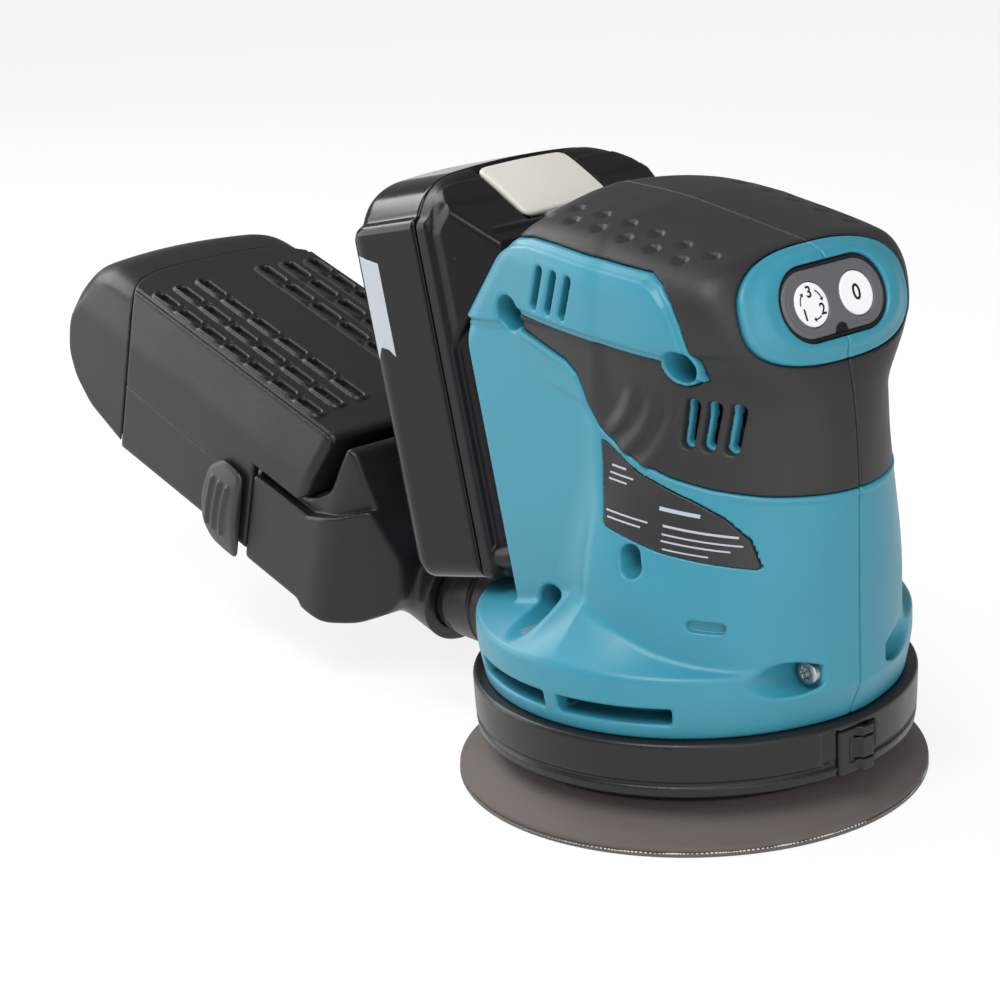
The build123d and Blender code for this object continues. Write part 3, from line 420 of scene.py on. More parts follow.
def foot_windows(x, y, z):
    """Two curved windows in the foot's wall, negative inside."""
    ring = sqrt((x - AXIS_X) ** 2 + y * y)
    bearing = np.degrees(np.arctan2(-abs(y), x - AXIS_X)) % 360.0
    result = None
    for low, high in FOOT_WINDOWS:
        span = (abs(bearing - (low + high) / 2) - (high - low) / 2) * radians(1.0) * ring
        window = smax(span, abs(z - 34.6) - 2.2, 1.0)
        result = window if result is None else minimum(result, window)
    return maximum(result, 46.0 - ring)


def screw_holes(x, y, z, grow=0.0):
    """Sunk screw holes, entered from the side."""
    result = 99.0
    for px, pz, size, floor in SCREW_HOLES:
        hole = sqrt((x - px) ** 2 + (z - pz) ** 2) - size
        result = minimum(result, maximum(hole, floor - grow - abs(y)))
    side_hole = slot_form(x, z, SIDE_SCREW, (2.9, 4.2), SIDE_TILT)
    return minimum(result, maximum(side_hole, SIDE_FLOOR - grow - abs(y))) - grow


def stadium(u, v, half_u, half_v):
    """Distance to a long round-ended shape."""
    return sqrt(maximum(abs(u) - half_u + half_v, 0.0) ** 2 + v * v) - half_v


def panel_pocket(x, y, z, grow=0.0):
    """The hole that the switch panel sits in."""
    lift, up = panel_axes(x, z)
    return maximum(stadium(y, up, 17.9 + grow, 9.4 + grow), -14.0 - lift)


def bay_form(x, y, z):
    """The battery bay's T-shaped channel."""
    n, s = battery_axes(x, z)
    neck = box(n, y, s, (-20.0, 0.0, 161.6), (9.3, 25.4, 100.0), 0.5)
    head = box(n, y, s, (-7.4, 0.0, 161.6), (3.6, 29.4, 100.0), 0.5)
    return minimum(neck, head)


def teal_form(side):
    """One shell: the body outside the rubber, a rebate under it, hollow, with its openings."""
    def form(x, y, z):
        body = body_form(x, y, z)
        wing = outline(WING_OUTLINE, x, z)
        bezel = bezel_form(x, y, z)
        mask = rubber_mask(x, y, z)
        raised = 0.9 * ramp(-wing, 0.9, 2.2) * ramp(x, -60.0, -44.0) + 0.25 * ramp(-wing, -0.3, 0.1)
        lip = 0.35 * ramp(-bezel, -0.3, 0.2) + 0.95 * ramp(-bezel, 1.1, 3.6)
        raised = maximum(raised, lip)
        bead = 0.28 * ramp(-mask, -1.7, -1.3) * ramp(100.0 - z, -26.0, -20.0) * (bezel > 0)
        skin = body - raised - bead
        shell = smax(skin, 0.1 - mask, 0.7)
        shell = minimum(shell, body + 2.4)
        shell = smax(shell, -neck_slots(x, z, -0.1), 0.4)
        shell = smax(shell, -head_slots(x, z), 0.6)
        shell = smax(shell, -foot_windows(x, y, z), 0.8)
        shell = smax(shell, -screw_holes(x, y, z), 1.0)
        shell = smax(shell, -panel_pocket(x, y, z), 0.9)
        shell = smax(shell, -bay_form(x, y, z), 0.6)
        tag = slot_form(x, z, (40.8, 56.3), (1.45, 4.0), radians(94))
        shell = smax(shell, -maximum(tag, -body - 1.6), 0.5)
        pipe = sqrt(y * y + (z - 25.0) ** 2) - 13.2
        shell = maximum(shell, -maximum(pipe, x + 20.0))
        label = maximum(outline(LABEL_OUTLINE, x, z) - 0.25, -body - LABEL_THICK)
        shell = maximum(shell, -label - 9.0 * (side > 0))
        kept = minimum(screw_holes(x, y, z, 1.8), panel_pocket(x, y, z, 1.8))
        kept = minimum(kept, bay_form(x, y, z) - 1.8)
        shell = maximum(shell, -maximum(body + 4.4, -kept))
        return smax(shell, 0.1 - side * y, 0.5)
    return form


def grip_form(side):
    """One half of the rubber: dimpled crown, strip beside the bezel and the recessed neck band."""
    def form(x, y, z):
        body = body_form(x, y, z)
        wing = outline(WING_OUTLINE, x, z)
        under = ramp(124.5 - z, 0.0, 2.0)
        recess = 1.3 * np.exp(-(maximum(wing, 0.0) / 7.5) ** 2) * under
        skin = body + recess - ripple(x, z) * 1.2 + dimples(x, y, z)
        mask = rubber_mask(x, y, z)
        grip = smax(skin, mask + 0.1, 0.7)
        grip = smax(grip, -neck_slots(x, z, 0.35), 0.9)
        grip = maximum(grip, -bay_form(x, y, z))
        grip = maximum(grip, -(body + 2.3))
        return smax(grip, 0.1 - side * y, 0.5)
    return form


def ripple(x, z):
    """Three crescent ridges on the thumb's rest, steeper on their outer side."""
    dx, dz = x - 4.5, z - 115.0
    distance = sqrt(dx * dx + dz * dz)
    phase = (distance - 12.6) / 5.9
    step = phase - np.floor(phase)
    wave = np.where(step < 0.72, step / 0.72, (1.0 - step) / 0.28)
    window = ramp(distance, 12.4, 13.2) * ramp(-distance, -30.4, -29.8)
    bearing = np.arctan2(dz, dx)
    return ramp(wave, 0.0, 1.0) * window * ramp(-abs(bearing + 0.62), -0.60, -0.25)


def dimples(x, y, z):
    """Two staggered rows of crescent dents along each side of the crown."""
    result = 0.0
    side = abs(y)
    for across, start in ((29.3, -16.5), (23.6, -11.6)):
        shift = np.clip(np.round((x - start) / 9.4), 0, 5)
        du, dv = x - start - shift * 9.4, side - across
        dent = ramp(2.3 - sqrt(du * du + dv * dv), 0.0, 0.7)
        result = result + 0.85 * dent * (0.55 + 0.2 * (du - dv))
    return result * ramp(z, 136.0, 138.0)


def make_housing():
    for side, name, near, far in ((-1, "right", -61.0, 1.5), (1, "left", -1.5, 61.0)):
        high = (62.5, far, 154.0)
        carve_piece(f"{name}_shell", teal_form(side), (-58.0, near, 27.0), high,
                    "housing", TEAL, "teal_housing", f"{name}_housing")
        carve_piece(f"{name}_rubber", grip_form(side), (-45.0, near, 84.0), high,
                    "housing", GRIP, "soft_grip", f"{name}_grip")


# ---- label, screws and switches ----
def label_form(x, y, z):
    """A film on the right shell, following its surface, with a hole for the side screw."""
    body = body_form(x, y, z)
    film = maximum(body - 0.03, -body - LABEL_THICK + 0.03)
    hole = slot_form(x, z, SIDE_SCREW, (3.7, 5.0), SIDE_TILT)
    film = maximum(maximum(film, outline(LABEL_OUTLINE, x, z)), -hole)
    return maximum(film, y + 5.0)


def printed_bar(name, start, end, thick):
    """A thin raised line on the label from start to end in the side view, thick across."""
    dx, dz = end[0] - start[0], end[1] - start[1]
    run = np.linspace(0.0, 1.0, 2 + int(np.hypot(dx, dz)))
    rows = [(start[0] + dx * run, start[1] + dz * run + shift) for shift in (-thick / 2, thick / 2)]
    form, verts = bmesh.new(), []
    for x, z in rows:
        near, far = np.full_like(x, -10.0), np.full_like(x, -60.0)
        for _ in range(30):
            middle = (near + far) / 2
            outside = body_form(x, middle, z) > 0.08
            near, far = np.where(outside, near, middle), np.where(outside, middle, far)
        verts.append([form.verts.new(point) for point in zip(x, near, z)])
    faces = [form.faces.new((verts[0][i], verts[0][i + 1], verts[1][i + 1], verts[1][i]))
             for i in range(len(run) - 1)]
    extrude(form, faces, (0, 0.25, 0))
    finish_piece(add(name, mesh_of(name, form)), "housing", PRINT, "label_film")


def make_label():
    """The film, and plain bars in place of text, each as left, right, height and thickness."""
    carve_piece("label", label_form, (8.0, -46.0, 70.0), (52.0, -20.0, 100.0),
                "housing", LABEL, "label_film", "rating_label", step=STEP / 2)
    bars = [(30.0, 46.5, 80.4, 0.55), (30.0, 47.4, 78.4, 0.4), (30.0, 45.2, 76.8, 0.4),
            (28.6, 38.4, 84.4, 0.9), (13.8, 18.2, 92.6, 0.5), (13.4, 20.6, 90.8, 0.4),
            (13.2, 18.8, 89.3, 0.4), (13.6, 26.0, 81.8, 0.4), (14.2, 24.2, 80.2, 0.4),
            (30.6, 41.0, 74.9, 0.35)]
    for index, (left, right, height, thick) in enumerate(bars):
        lower = height - 0.1 * (right - left)
        printed_bar(f"label_bar_{index}", (left, height), (right, lower), thick)


def screw_form(x, y, z):
    """Pan head with a six-lobed recess, and a short threaded shank, along Z."""
    ring, turn = sqrt(x * x + y * y), np.arctan2(y, x)
    head = smax(smax(ring - 3.1, z - 2.3 + 0.03 * ring * ring, 0.5), -z, 0.2)
    recess = maximum(ring - 1.55 - 0.22 * np.cos(6.0 * turn), 0.9 - z)
    thread = 0.18 * np.cos(2.0 * pi * z / 1.2 - turn)
    shank = maximum(maximum(ring - 1.45 - thread, z - 0.5), -11.0 - z)
    return maximum(minimum(head, shank), -recess)


def make_screws():
    """One mesh of five screws, each seated on its hole's floor in the right shell."""
    single = carve("screw_pattern", screw_form, (-3.5, -3.5, -11.5), (3.5, 3.5, 2.8), step=0.25)
    sideways = Matrix.Rotation(pi / 2, 4, "X")
    form = bmesh.new()
    for px, pz, _, floor in SCREW_HOLES + [(*SIDE_SCREW, 2.9, SIDE_FLOOR)]:
        copy = single.data.copy()
        seat = (px * MM, (-floor - 0.05) * MM, pz * MM)
        copy.transform(Matrix.Translation(seat) @ sideways)
        form.from_mesh(copy)
        bpy.data.meshes.remove(copy)
    mesh = bpy.data.meshes.new("case_screws")
    form.to_mesh(mesh)
    form.free()
    bpy.data.objects.remove(single)
    finish_piece(add("case_screws", mesh), "housing", SCREW, "screw_steel", "housing_screws")


PANEL_BUTTON = (7.6, -0.2, 5.4)        # sideways, up and radius
PANEL_NOTCH = (0.0, -8.1, 2.2)
PANEL_HALF = (16.8, 8.2)


def panel_place():
    """Matrix from (sideways, up, lift) axes on the switch panel."""
    c, s = cos(PANEL_LEAN), sin(PANEL_LEAN)
    return ((0, -s, c, PANEL_POINT[0]), (1, 0, 0, 0), (0, c, s, PANEL_POINT[1]), (0, 0, 0, 1))


def button_distance(u, v, side):
    """Distance from one button's middle; side is -1 for the speed button, 1 for the stop button."""
    return sqrt((u - side * PANEL_BUTTON[0]) ** 2 + (v - PANEL_BUTTON[1]) ** 2)


def panel_form(u, v, w):
    """The grey plate with its rim groove, two button holes and the notch below them."""
    edge = stadium(u, v, *PANEL_HALF)
    plate = smax(edge, w - 0.22 + 0.3 * ramp(edge, -1.1, -0.2), 0.35)
    plate = plate + 0.18 * ramp(0.35 - abs(edge + 1.35), 0.0, 0.3) * (w > -0.6)
    plate = maximum(plate, -2.9 - w)
    wall = maximum(maximum(edge, -edge - 1.8), maximum(-13.8 - w, w + 1.0))
    hole = button_distance(abs(u), v, 1) - PANEL_BUTTON[2] - 0.22
    notch = sqrt((u - PANEL_NOTCH[0]) ** 2 + (v - PANEL_NOTCH[1]) ** 2) - PANEL_NOTCH[2]
    notch = maximum(notch, -0.9 - w)
    return smax(smax(minimum(plate, wall), -maximum(hole, -12.0 - w), 0.2), -notch, 0.25)


def panel_gap_shade_form(u, v, w):
    """Painted shade: a near-black ring filling the gap between the panel and its bezel, where the gap's shade
    falls.
    """
    edge = stadium(u, v, *PANEL_HALF)
    return smax(smax(abs(edge - 0.57) - 0.49, w + 0.15, 0.3), -3.0 - w, 0.2)


def button_form(side):
    """A button's cap, the flange behind the panel and its stem."""
    def form(u, v, w):
        ring = button_distance(u, v, side)
        top = smax(smax(ring - PANEL_BUTTON[2], w - 0.2, 0.3), -3.4 - w, 0.1)
        flange = maximum(ring - 5.9, abs(w + 3.85) - 0.7)
        stem = maximum(ring - 1.4, abs(w + 6.0) - 2.0)
        return minimum(minimum(top, flange), stem)
    return form


def printed_digit(name, digit, height, place_u, place_v, body):
    """One digit on a button, as a film a little proud of its face."""
    curve = bpy.data.curves.new(name, "FONT")
    curve.body, curve.size = digit, height / 0.64
    curve.align_x, curve.align_y = "CENTER", "CENTER"
    curve.extrude, curve.offset = 0.04, 0.08
    writer = bpy.data.objects.new(name, curve)
    bpy.context.scene.collection.objects.link(writer)
    bpy.context.view_layer.update()
    solved = writer.evaluated_get(bpy.context.evaluated_depsgraph_get())
    mesh = bpy.data.meshes.new_from_object(solved)
    bpy.data.objects.remove(writer)
    shift = Matrix.Translation((place_u, place_v, 0.205))
    mesh.transform(Matrix.Scale(MM, 4) @ Matrix(panel_place()) @ shift)
    finish_piece(add(name, mesh), body, INK, "button_white")


def printed_arrow(name, start, end, body):
    """A curved arrow about the speed button's middle, from start to end in degrees."""
    radius, thin, wide, sense = 3.65, 0.17, 0.62, 1 if end > start else -1
    points = []
    for offset in (thin, -thin):
        angles = np.radians(np.linspace(start, end, 12))[::1 if offset > 0 else -1]
        points += [((radius + offset) * cos(a), (radius + offset) * sin(a)) for a in angles]
    tip, wing = radians(end + sense * 13), radians(end)
    head = [(reach * cos(turn), reach * sin(turn))
            for reach, turn in ((radius + wide, wing), (radius, tip), (radius - wide, wing))]
    place = Matrix(panel_place()) @ Matrix.Translation((-PANEL_BUTTON[0], PANEL_BUTTON[1], 0.165))
    for part, shape in (("line", points), ("head", head)):
        form = bmesh.new()
        face = form.faces.new([form.verts.new((u, v, 0.0)) for u, v in shape])
        extrude(form, [face], (0, 0, 0.08))
        mesh = mesh_of(f"{name}_{part}", form, place)
        finish_piece(add(f"{name}_{part}", mesh), body, INK, "button_white")


def make_switches():
    """The panel, a near-black ring of painted shade in the gap round it, and the two buttons with their
    generic digits and arrows.
    """
    lean = {"place": panel_place(), "step": STEP * 0.6}
    carve_piece("switch_plate", panel_form, (-18.0, -9.4, -14.2), (18.0, 9.4, 0.8),
                "housing", PANEL, "panel_grey", "switch_panel", **lean)
    # painted shade: a near-black ring in printed ink fills the gap round the panel
    carve_piece("panel_gap_shade", panel_gap_shade_form, (-18.6, -10.0, -3.4), (18.6, 10.0, 0.4),
                "housing", INK, "seal_rubber", **lean)
    across, up, _ = PANEL_BUTTON
    for side, body, name in ((-1, "speed_key", "speed_button"), (1, "stop_key", "stop_button")):
        low, high = side * across - 6.3, side * across + 6.3
        carve_piece(f"{name}_cap", button_form(side), (low, -6.6, -8.4), (high, 6.4, 0.7),
                    body, WHITE, "button_white", name, **lean)
    printed_digit("digit_stop", "0", 3.5, across, up, "stop_key")
    for digit, du, dv in (("3", 0.0, 2.95), ("1", -2.9, -2.2), ("2", 3.0, -1.7)):
        printed_digit(f"digit_{digit}", digit, 2.5, du - across, dv + up, "speed_key")
    for index, (start, end) in enumerate(((58, 16), (-58, -88), (176, 136))):
        printed_arrow(f"speed_arrow_{index}", start, end, "speed_key")


# ---- foot: ring, clasp, nozzle and pad ----
RING_PROFILE = [(57.0, 28.4), (57.6, 27.6), (57.3, 18.6), (56.6, 18.0), (56.6, 17.2), (57.2, 16.6),
                (56.9, 14.6), (56.2, 14.0), (54.2, 14.2), (54.2, 17.2), (44.5, 17.2), (44.5, 19.2),
                (53.8, 19.2), (54.2, 26.0), (48.0, 26.0), (48.0, 28.4)]
FOAM_PROFILE = [(8.6, 1.25), (61.0, 1.25), (61.4, 1.7), (61.1, 2.5), (57.6, 5.2), (53.8, 7.7),
                (50.0, 10.0), (8.6, 10.0)]
CLASP_X = AXIS_X + 57.5
PIPE_RADIUS = 13.0
HOLE_CIRCLE, HOLE_RADIUS = 32.5, 5.0   # the pad's eight extraction holes
LOOP_COUNT = 420


def around_axis(x, y):
    """Distance from the spindle's axis."""
    return sqrt((x - AXIS_X) ** 2 + y * y)


def pipe_form(x, y, z, radius):
    """Level out of the foot, then tilted up to the dust box."""
    c, s = cos(DUST_TILT), sin(DUST_TILT)
    level = maximum(sqrt(y * y + (z - 25.0) ** 2) - radius, -86.3 - x)
    along, height = -x * c + z * s, x * s + z * c
    rise = sqrt(y * y + (height - 0.33) ** 2) - radius
    rise = maximum(rise, maximum(89.2 - along, along - 113.4))
    return smin(level, rise, 1.5)


def ring_form(x, y, z):
    """The black ring round the foot, with a gap for its clasp and room for the dust pipe."""
    ring = around_axis(x, y)
    form = outline(RING_PROFILE, ring, z)
    gap = box(x, y, z, (CLASP_X + 0.5, 0.0, 20.0), (5.6, 6.4, 6.3), 0.4)
    ledge = maximum(abs(y + 9.0) - 2.6, 18.6 - z)
    ledge = maximum(ledge, maximum(z - 26.8, 56.8 - ring))
    form = smax(form, -maximum(ledge, CLASP_X - 16.0 - x), 0.3)
    form = smax(form, -gap, 0.4)
    return maximum(form, -maximum(pipe_form(x, y, z, PIPE_RADIUS), x))


def clasp_form(x, y, z):
    """A flush block with a hinge barrel between two knuckles, and a finger recess beside it."""
    ring = around_axis(x, y)
    block = box(x, y, z, (CLASP_X - 1.6, 0.0, 20.0), (3.2, 6.2, 5.9), 0.7)
    block = smax(block, ring - 57.4, 0.6)
    hinge = sqrt((x - CLASP_X + 1.2) ** 2 + (y - 2.6) ** 2)
    barrel = smax(hinge - 2.9, abs(z - 20.0) - 5.8, 0.5)
    form = smin(block, maximum(barrel, x - 60.0), 0.4)
    seams = abs(abs(z - 20.3) - 2.9) - 0.22
    seams = maximum(maximum(seams, CLASP_X - 1.0 - x), abs(y - 2.6) - 3.2)
    pocket = box(x, y, z, (CLASP_X + 1.2, -1.7, 20.3), (1.7, 1.2, 3.4), 0.5)
    return maximum(smax(smax(form, -seams, 0.2), -pocket, 0.4), -(hinge - 1.22))


def nozzle_form(x, y, z):
    """The ribbed dust pipe from the foot to the dust box's nose."""
    ribs = 0.45 * ramp(0.9 - abs(abs(x + 72.0) - 3.5), 0.0, 0.6)
    form = pipe_form(x, y, z, PIPE_RADIUS) - ribs
    form = maximum(form, maximum(50.0 - around_axis(x, y), x))
    return smax(form, -pipe_form(x, y, z, PIPE_RADIUS - 2.0) - 3.0 * (x > -46.0), 0.5)


def dust_holes(x, y):
    """Eight extraction holes on one circle."""
    turn = np.radians(np.degrees(np.arctan2(y, x)) % 45.0 - 22.5)
    ring = sqrt(x * x + y * y)
    du, dv = ring * np.cos(turn) - HOLE_CIRCLE, ring * np.sin(turn)
    return sqrt(du * du + dv * dv) - HOLE_RADIUS


def foam_form(x, y, z):
    form = outline(FOAM_PROFILE, sqrt(x * x + y * y), z)
    return smax(form, -dust_holes(x, y), 0.3)


def hook_form(x, y, z):
    """The fabric disc under the foam."""
    ring = sqrt(x * x + y * y)
    disc = smax(smax(ring - 61.4, abs(z - 0.62) - 0.6, 0.4), 8.5 - ring, 0.2)
    return smax(disc, -dust_holes(x, y), 0.2)


def make_loops():
    """Pale loop ends round the rim of the hook disc."""
    form = bmesh.new()
    for index in range(LOOP_COUNT):
        angle = 2 * pi * (index + 0.8 * sin(index * 12.9898)) / LOOP_COUNT
        size = 0.16 + 0.13 * abs(sin(index * 78.233))
        height = 0.75 + 0.45 * sin(index * 37.719)
        made = bmesh.ops.create_icosphere(form, subdivisions=1, radius=size)["verts"]
        bmesh.ops.scale(form, vec=(1.0, 1.6, 0.9), verts=made)
        bmesh.ops.translate(form, vec=(61.45 - size, 0.0, height), verts=made)
        bmesh.ops.rotate(form, matrix=Matrix.Rotation(angle, 3, "Z"), verts=made)
    mesh = mesh_of("hook_loops", form)
    finish_piece(add("hook_loops", mesh), "pad", FLEECE, "hook_fabric")


def make_foot():
    carve_piece("skirt_ring", ring_form, (-57.5, -59.5, 13.0), (60.5, 59.5, 29.4),
                "housing", BLACK, "black_nylon", "dust_skirt")
    carve_piece("ring_clasp", clasp_form, (53.0, -7.0, 13.0), (61.5, 7.0, 27.0),
                "housing", BLACK, "black_nylon", "skirt_clasp", step=STEP / 2)
    carve_piece("dust_pipe", nozzle_form, (-114.0, -15.0, 9.0), (-30.0, 15.0, 49.0),
                "housing", BLACK, "black_nylon", "dust_nozzle")
    carve_piece("pad_cushion", foam_form, (-62.5, -62.5, 0.4), (62.5, 62.5, 11.2),
                "pad", FOAM, "pad_foam", "foam_pad")
    carve_piece("hook_disc", hook_form, (-62.5, -62.5, -0.6), (62.5, 62.5, 2.0),
                "pad", FOAM, "hook_fabric", "hook_face", step=STEP * 0.8)
    make_loops()


# ---- battery ----
# In the leaning battery's axes: n is depth, positive toward the housing, and s is length.
BLADE_Y = 12.0                         # contact blades each side of the middle
BOSS = (32.5, 63.0)                    # y and s of the screw bosses
STRIPE = [(-52.2, 145.2), (-43.9, 142.6), (-43.9, 117.4), (-46.6, 119.6), (-49.6, 120.4),
          (-52.2, 117.0)]
FRONT_SLOPE = (-24.9, 162.4)           # n and s where the sloped top starts


def leaning(tilt):
    """Matrix from (depth, y, length) axes that lean back by tilt."""
    c, s = cos(tilt), sin(tilt)
    return ((c, 0, -s, 0), (0, 1, 0, 0), (s, 0, c, 0), (0, 0, 0, 1))


def battery_crown(y, s):
    """Side walls and domed top shared by both battery cases."""
    side = abs(y)
    return smax(side - 36.3 - 0.004 * (s - 57.0), s - 163.0 + 0.002 * y * y, 17.0)


def front_slope(n, s):
    """Height above the front case's sloped top, and distance down it."""
    dn, ds = n - FRONT_SLOPE[0], s - FRONT_SLOPE[1]
    return dn * 0.623 + ds * 0.782, dn * 0.782 - ds * 0.623


def battery_rear_form(n, y, s):
    """The glossy rear case, open toward the front case."""
    side = abs(y)
    core = smax(battery_crown(y, s), 57.4 - s, 8.0)
    core = smax(core, -56.8 - n + 0.0015 * y * y, 7.0)
    plate = smax(smax(side - 37.4, s - 152.8, 3.0), 57.0 - s, 6.0)
    plate = smax(smax(plate, -57.2 - n, 9.0), 33.0 - side, 0.5)
    form = smin(core, plate, 0.8)
    form = smax(form, n + 26.2, 0.9)
    cavity = smax(smax(form + 2.2, n + 26.0, 0.5), 60.0 - s, 0.5)
    return maximum(form, -cavity)


def battery_front_form(n, y, s):
    """The satin front case: rails, shoulders, screw bosses, blade slots and the key's room."""
    side = abs(y)
    core = smax(battery_crown(y, s), 57.4 - s, 5.0)
    band = smax(smax(side - 37.0, s - 152.4, 3.0), 57.2 - s, 3.0)
    band = smax(smax(band, n + 20.9, 1.6), 33.0 - side, 0.5)
    inner = 34.4 - 0.5 * ramp(n, -21.0, -13.7) - 4.0 * ramp(n, -20.5, -12.5) ** 2
    core = smax(core, side - inner - 2.4 * ramp(-n, 20.4, 21.4), 1.2)
    core = smax(core, n + 13.8, 3.0)
    slope, _ = front_slope(n, s)
    slope = slope + 0.9 * ramp(16.4 - side, 0.0, 0.8) * ramp(n, -25.2, -24.4)
    core = smax(core, slope, 2.0)
    rail = box(n, y, s, (-12.0, 0.0, 104.5), (7.8, 24.9, 42.4), 1.0)
    head = box(n, y, s, (-7.4, 0.0, 104.5), (3.2, 28.9, 42.4), 1.0)
    form = smin(minimum(smin(core, band, 0.8), minimum(rail, head)), core, 0.5)
    shoulder = smax((126.3 + 1.061 * (n + 13.1) - s) * 0.686, slope, 1.2)
    shoulder = smax(shoulder, side - 36.0 + 0.34 * maximum(n + 17.0, 0.0), 1.6)
    shoulder = maximum(maximum(shoulder, battery_crown(y, s) + 0.3), -20.5 - n)
    form = smin(form, shoulder, 0.8)
    boss = sqrt((side - BOSS[0]) ** 2 + (s - BOSS[1]) ** 2)
    form = smin(form, smax(boss - 3.9, maximum(n + 13.7, -24.0 - n), 0.4), 0.8)
    form = maximum(form, -maximum(boss - 2.75, -15.9 - n))
    form = smax(form, -25.9 - n, 0.9)
    walls = maximum(battery_crown(y, s) + 3.6, side - inner + 2.4)
    cavity = maximum(maximum(walls, abs(s - 98.0) - 38.0), maximum(n + 16.0, -27.0 - n))
    rooms = [box(n, y, s, (-16.0, 0.0, 154.0), (9.0, 15.6, 13.0), 0.5),
             box(n, y, s, (-8.0, 0.0, 138.0), (4.6, 8.4, 12.0), 0.5)]
    for blade in (-1, 1):
        rooms.append(box(n, y - blade * BLADE_Y, s, (-9.0, 0.0, 66.0), (2.6, 1.2, 18.0), 0.2))
    for room in rooms:
        cavity = minimum(cavity, room)
    return smax(form, -cavity, 0.4)


def release_form(n, y, s):
    """The grey release key: a crowned slab on the slope, with a turned-down front lip."""
    slope, along = front_slope(n, s)
    side = abs(y)
    slab = smax(slope - 0.9 + 0.0018 * y * y + 0.004 * (along - 11.0) ** 2, -1.6 - slope, 0.9)
    plan = smax(side - 15.0, abs(along - 11.6) - 10.9, 3.2)
    hook = box(n, y, s, (-8.7, 0.0, 139.5), (2.3, 8.0, 6.4), 0.8)
    web = box(n, y, s, (-11.5, 0.0, 148.0), (3.6, 8.0, 3.2), 0.8)
    return minimum(smax(slab, plan, 1.0), maximum(minimum(hook, web), slope + 0.4))


def make_battery():
    place = leaning(BATTERY_TILT)
    carve_piece("battery_rear", battery_rear_form, (-59.0, -39.0, 55.0), (-24.0, 39.0, 165.0),
                "battery", GLOSS, "battery_gloss", "battery_rear_case", place=place)
    carve_piece("battery_front", battery_front_form, (-28.0, -39.0, 55.0), (-2.0, 39.0, 165.0),
                "battery", SATIN, "battery_satin", "battery_front_case", place=place)
    carve_piece("release_key", release_form, (-28.0, -17.0, 130.0), (-3.0, 17.0, 166.0),
                "battery_release", RELEASE, "release_grey", "release_button", place=place)
    for side in (-1, 1):
        low, high = side * 37.5 - 1.5, side * 37.5 + 1.5
        carve_piece(f"battery_stripe_{side + 1}", stripe_form(side), (-54.0, low, 115.0),
                    (-42.0, high, 147.0), "battery", PRINT, "battery_gloss",
                    place=place, step=STEP / 2)


def stripe_form(side):
    """A printed patch as a film on one side of the rear case."""
    def form(n, y, s):
        case = battery_rear_form(n, y, s)
        film = maximum(case - 0.06, -case - 0.8)
        return maximum(maximum(film, outline(STRIPE, n, s)), 30.0 - side * y)
    return form


# ---- dust box ----
# In the tilted box's axes: s runs back and up, n is height.
# Grille rows, as distance from the middle, start, pitch, slot length and slot count.
SLOT_ROWS = [(11.2, 138.0, 13.7, 11.0, 6), (19.8, 137.0, 13.8, 10.6, 6),
             (28.2, 135.2, 11.85, 9.0, 7)]
SLOT_HALF = 1.25
BOX_SIDE, BOX_TOP = 37.0, 42.0
CAP_PROFILE = rounded([(205.0, 42.0), (232.0, 42.0), (241.0, 41.4), (249.0, 37.8), (253.5, 30.5),
                       (256.5, 18.5), (255.6, 9.0), (250.5, 1.5), (241.0, -4.5), (222.0, -9.0),
                       (205.0, -9.6)], 3.0)
NOSE_PROFILE = rounded([(150.9, -11.4), (125.0, -11.4), (123.5, -13.2), (114.0, -13.4),
                        (106.0, -10.8), (100.2, -6.0), (97.6, 0.0), (98.8, 12.0), (104.0, 22.0), (110.5, 33.5),
                        (114.6, 40.2), (118.2, 40.8), (119.6, 34.0), (121.0, 26.0), (129.8, 19.1),
                        (150.9, 19.1)], 2.0)
CLIP_OUTLINE = rounded([(152.4, -13.2), (164.5, -12.6), (169.6, -8.5), (170.4, 0.5), (168.6, 11.5),
                        (163.0, 15.8), (153.4, 14.8)], 2.5)


def dust_place():
    """Matrix from the dust box's (s, y, n) axes: s runs back and up, n is its own height."""
    c, s = cos(DUST_TILT), sin(DUST_TILT)
    return ((-c, 0, s, 0), (0, 1, 0, 0), (s, 0, c, 0), (0, 0, 0, 1))


def dust_section(y, n):
    """Upright sides, a chamfer leaning in, and a flat top."""
    side = abs(y)
    chamfer = 0.962 * (side - BOX_SIDE) + 0.27 * (n - 28.0)
    walls = smax(smax(side - BOX_SIDE, chamfer, 0.8), n - BOX_TOP, 1.8)
    return smax(walls, -9.4 - n + 0.012 * (side - 20.0), 2.5)


def joint_line(y):
    """Where the cap meets the case along s: set back at the sides."""
    return 230.5 - 14.5 * np.clip(abs(y) / BOX_SIDE, 0.0, 1.0) ** 4


def grille(s, y):
    """Distance to the nearest slot, and to the nearest row's shared outline."""
    side = abs(y)
    slots, rows = 99.0, 99.0
    for across, start, pitch, length, count in SLOT_ROWS:
        along = s - start - length / 2
        index = np.clip(np.round(along / pitch), 0, count - 1)
        slot = stadium(along - index * pitch, side - across, length / 2, SLOT_HALF)
        run = pitch * (count - 1) + length
        row = stadium(s - start - run / 2, side - across + 0.4, run / 2 + 1.2, 2.5)
        slots, rows = minimum(slots, slot), minimum(rows, row)
    return slots, rows


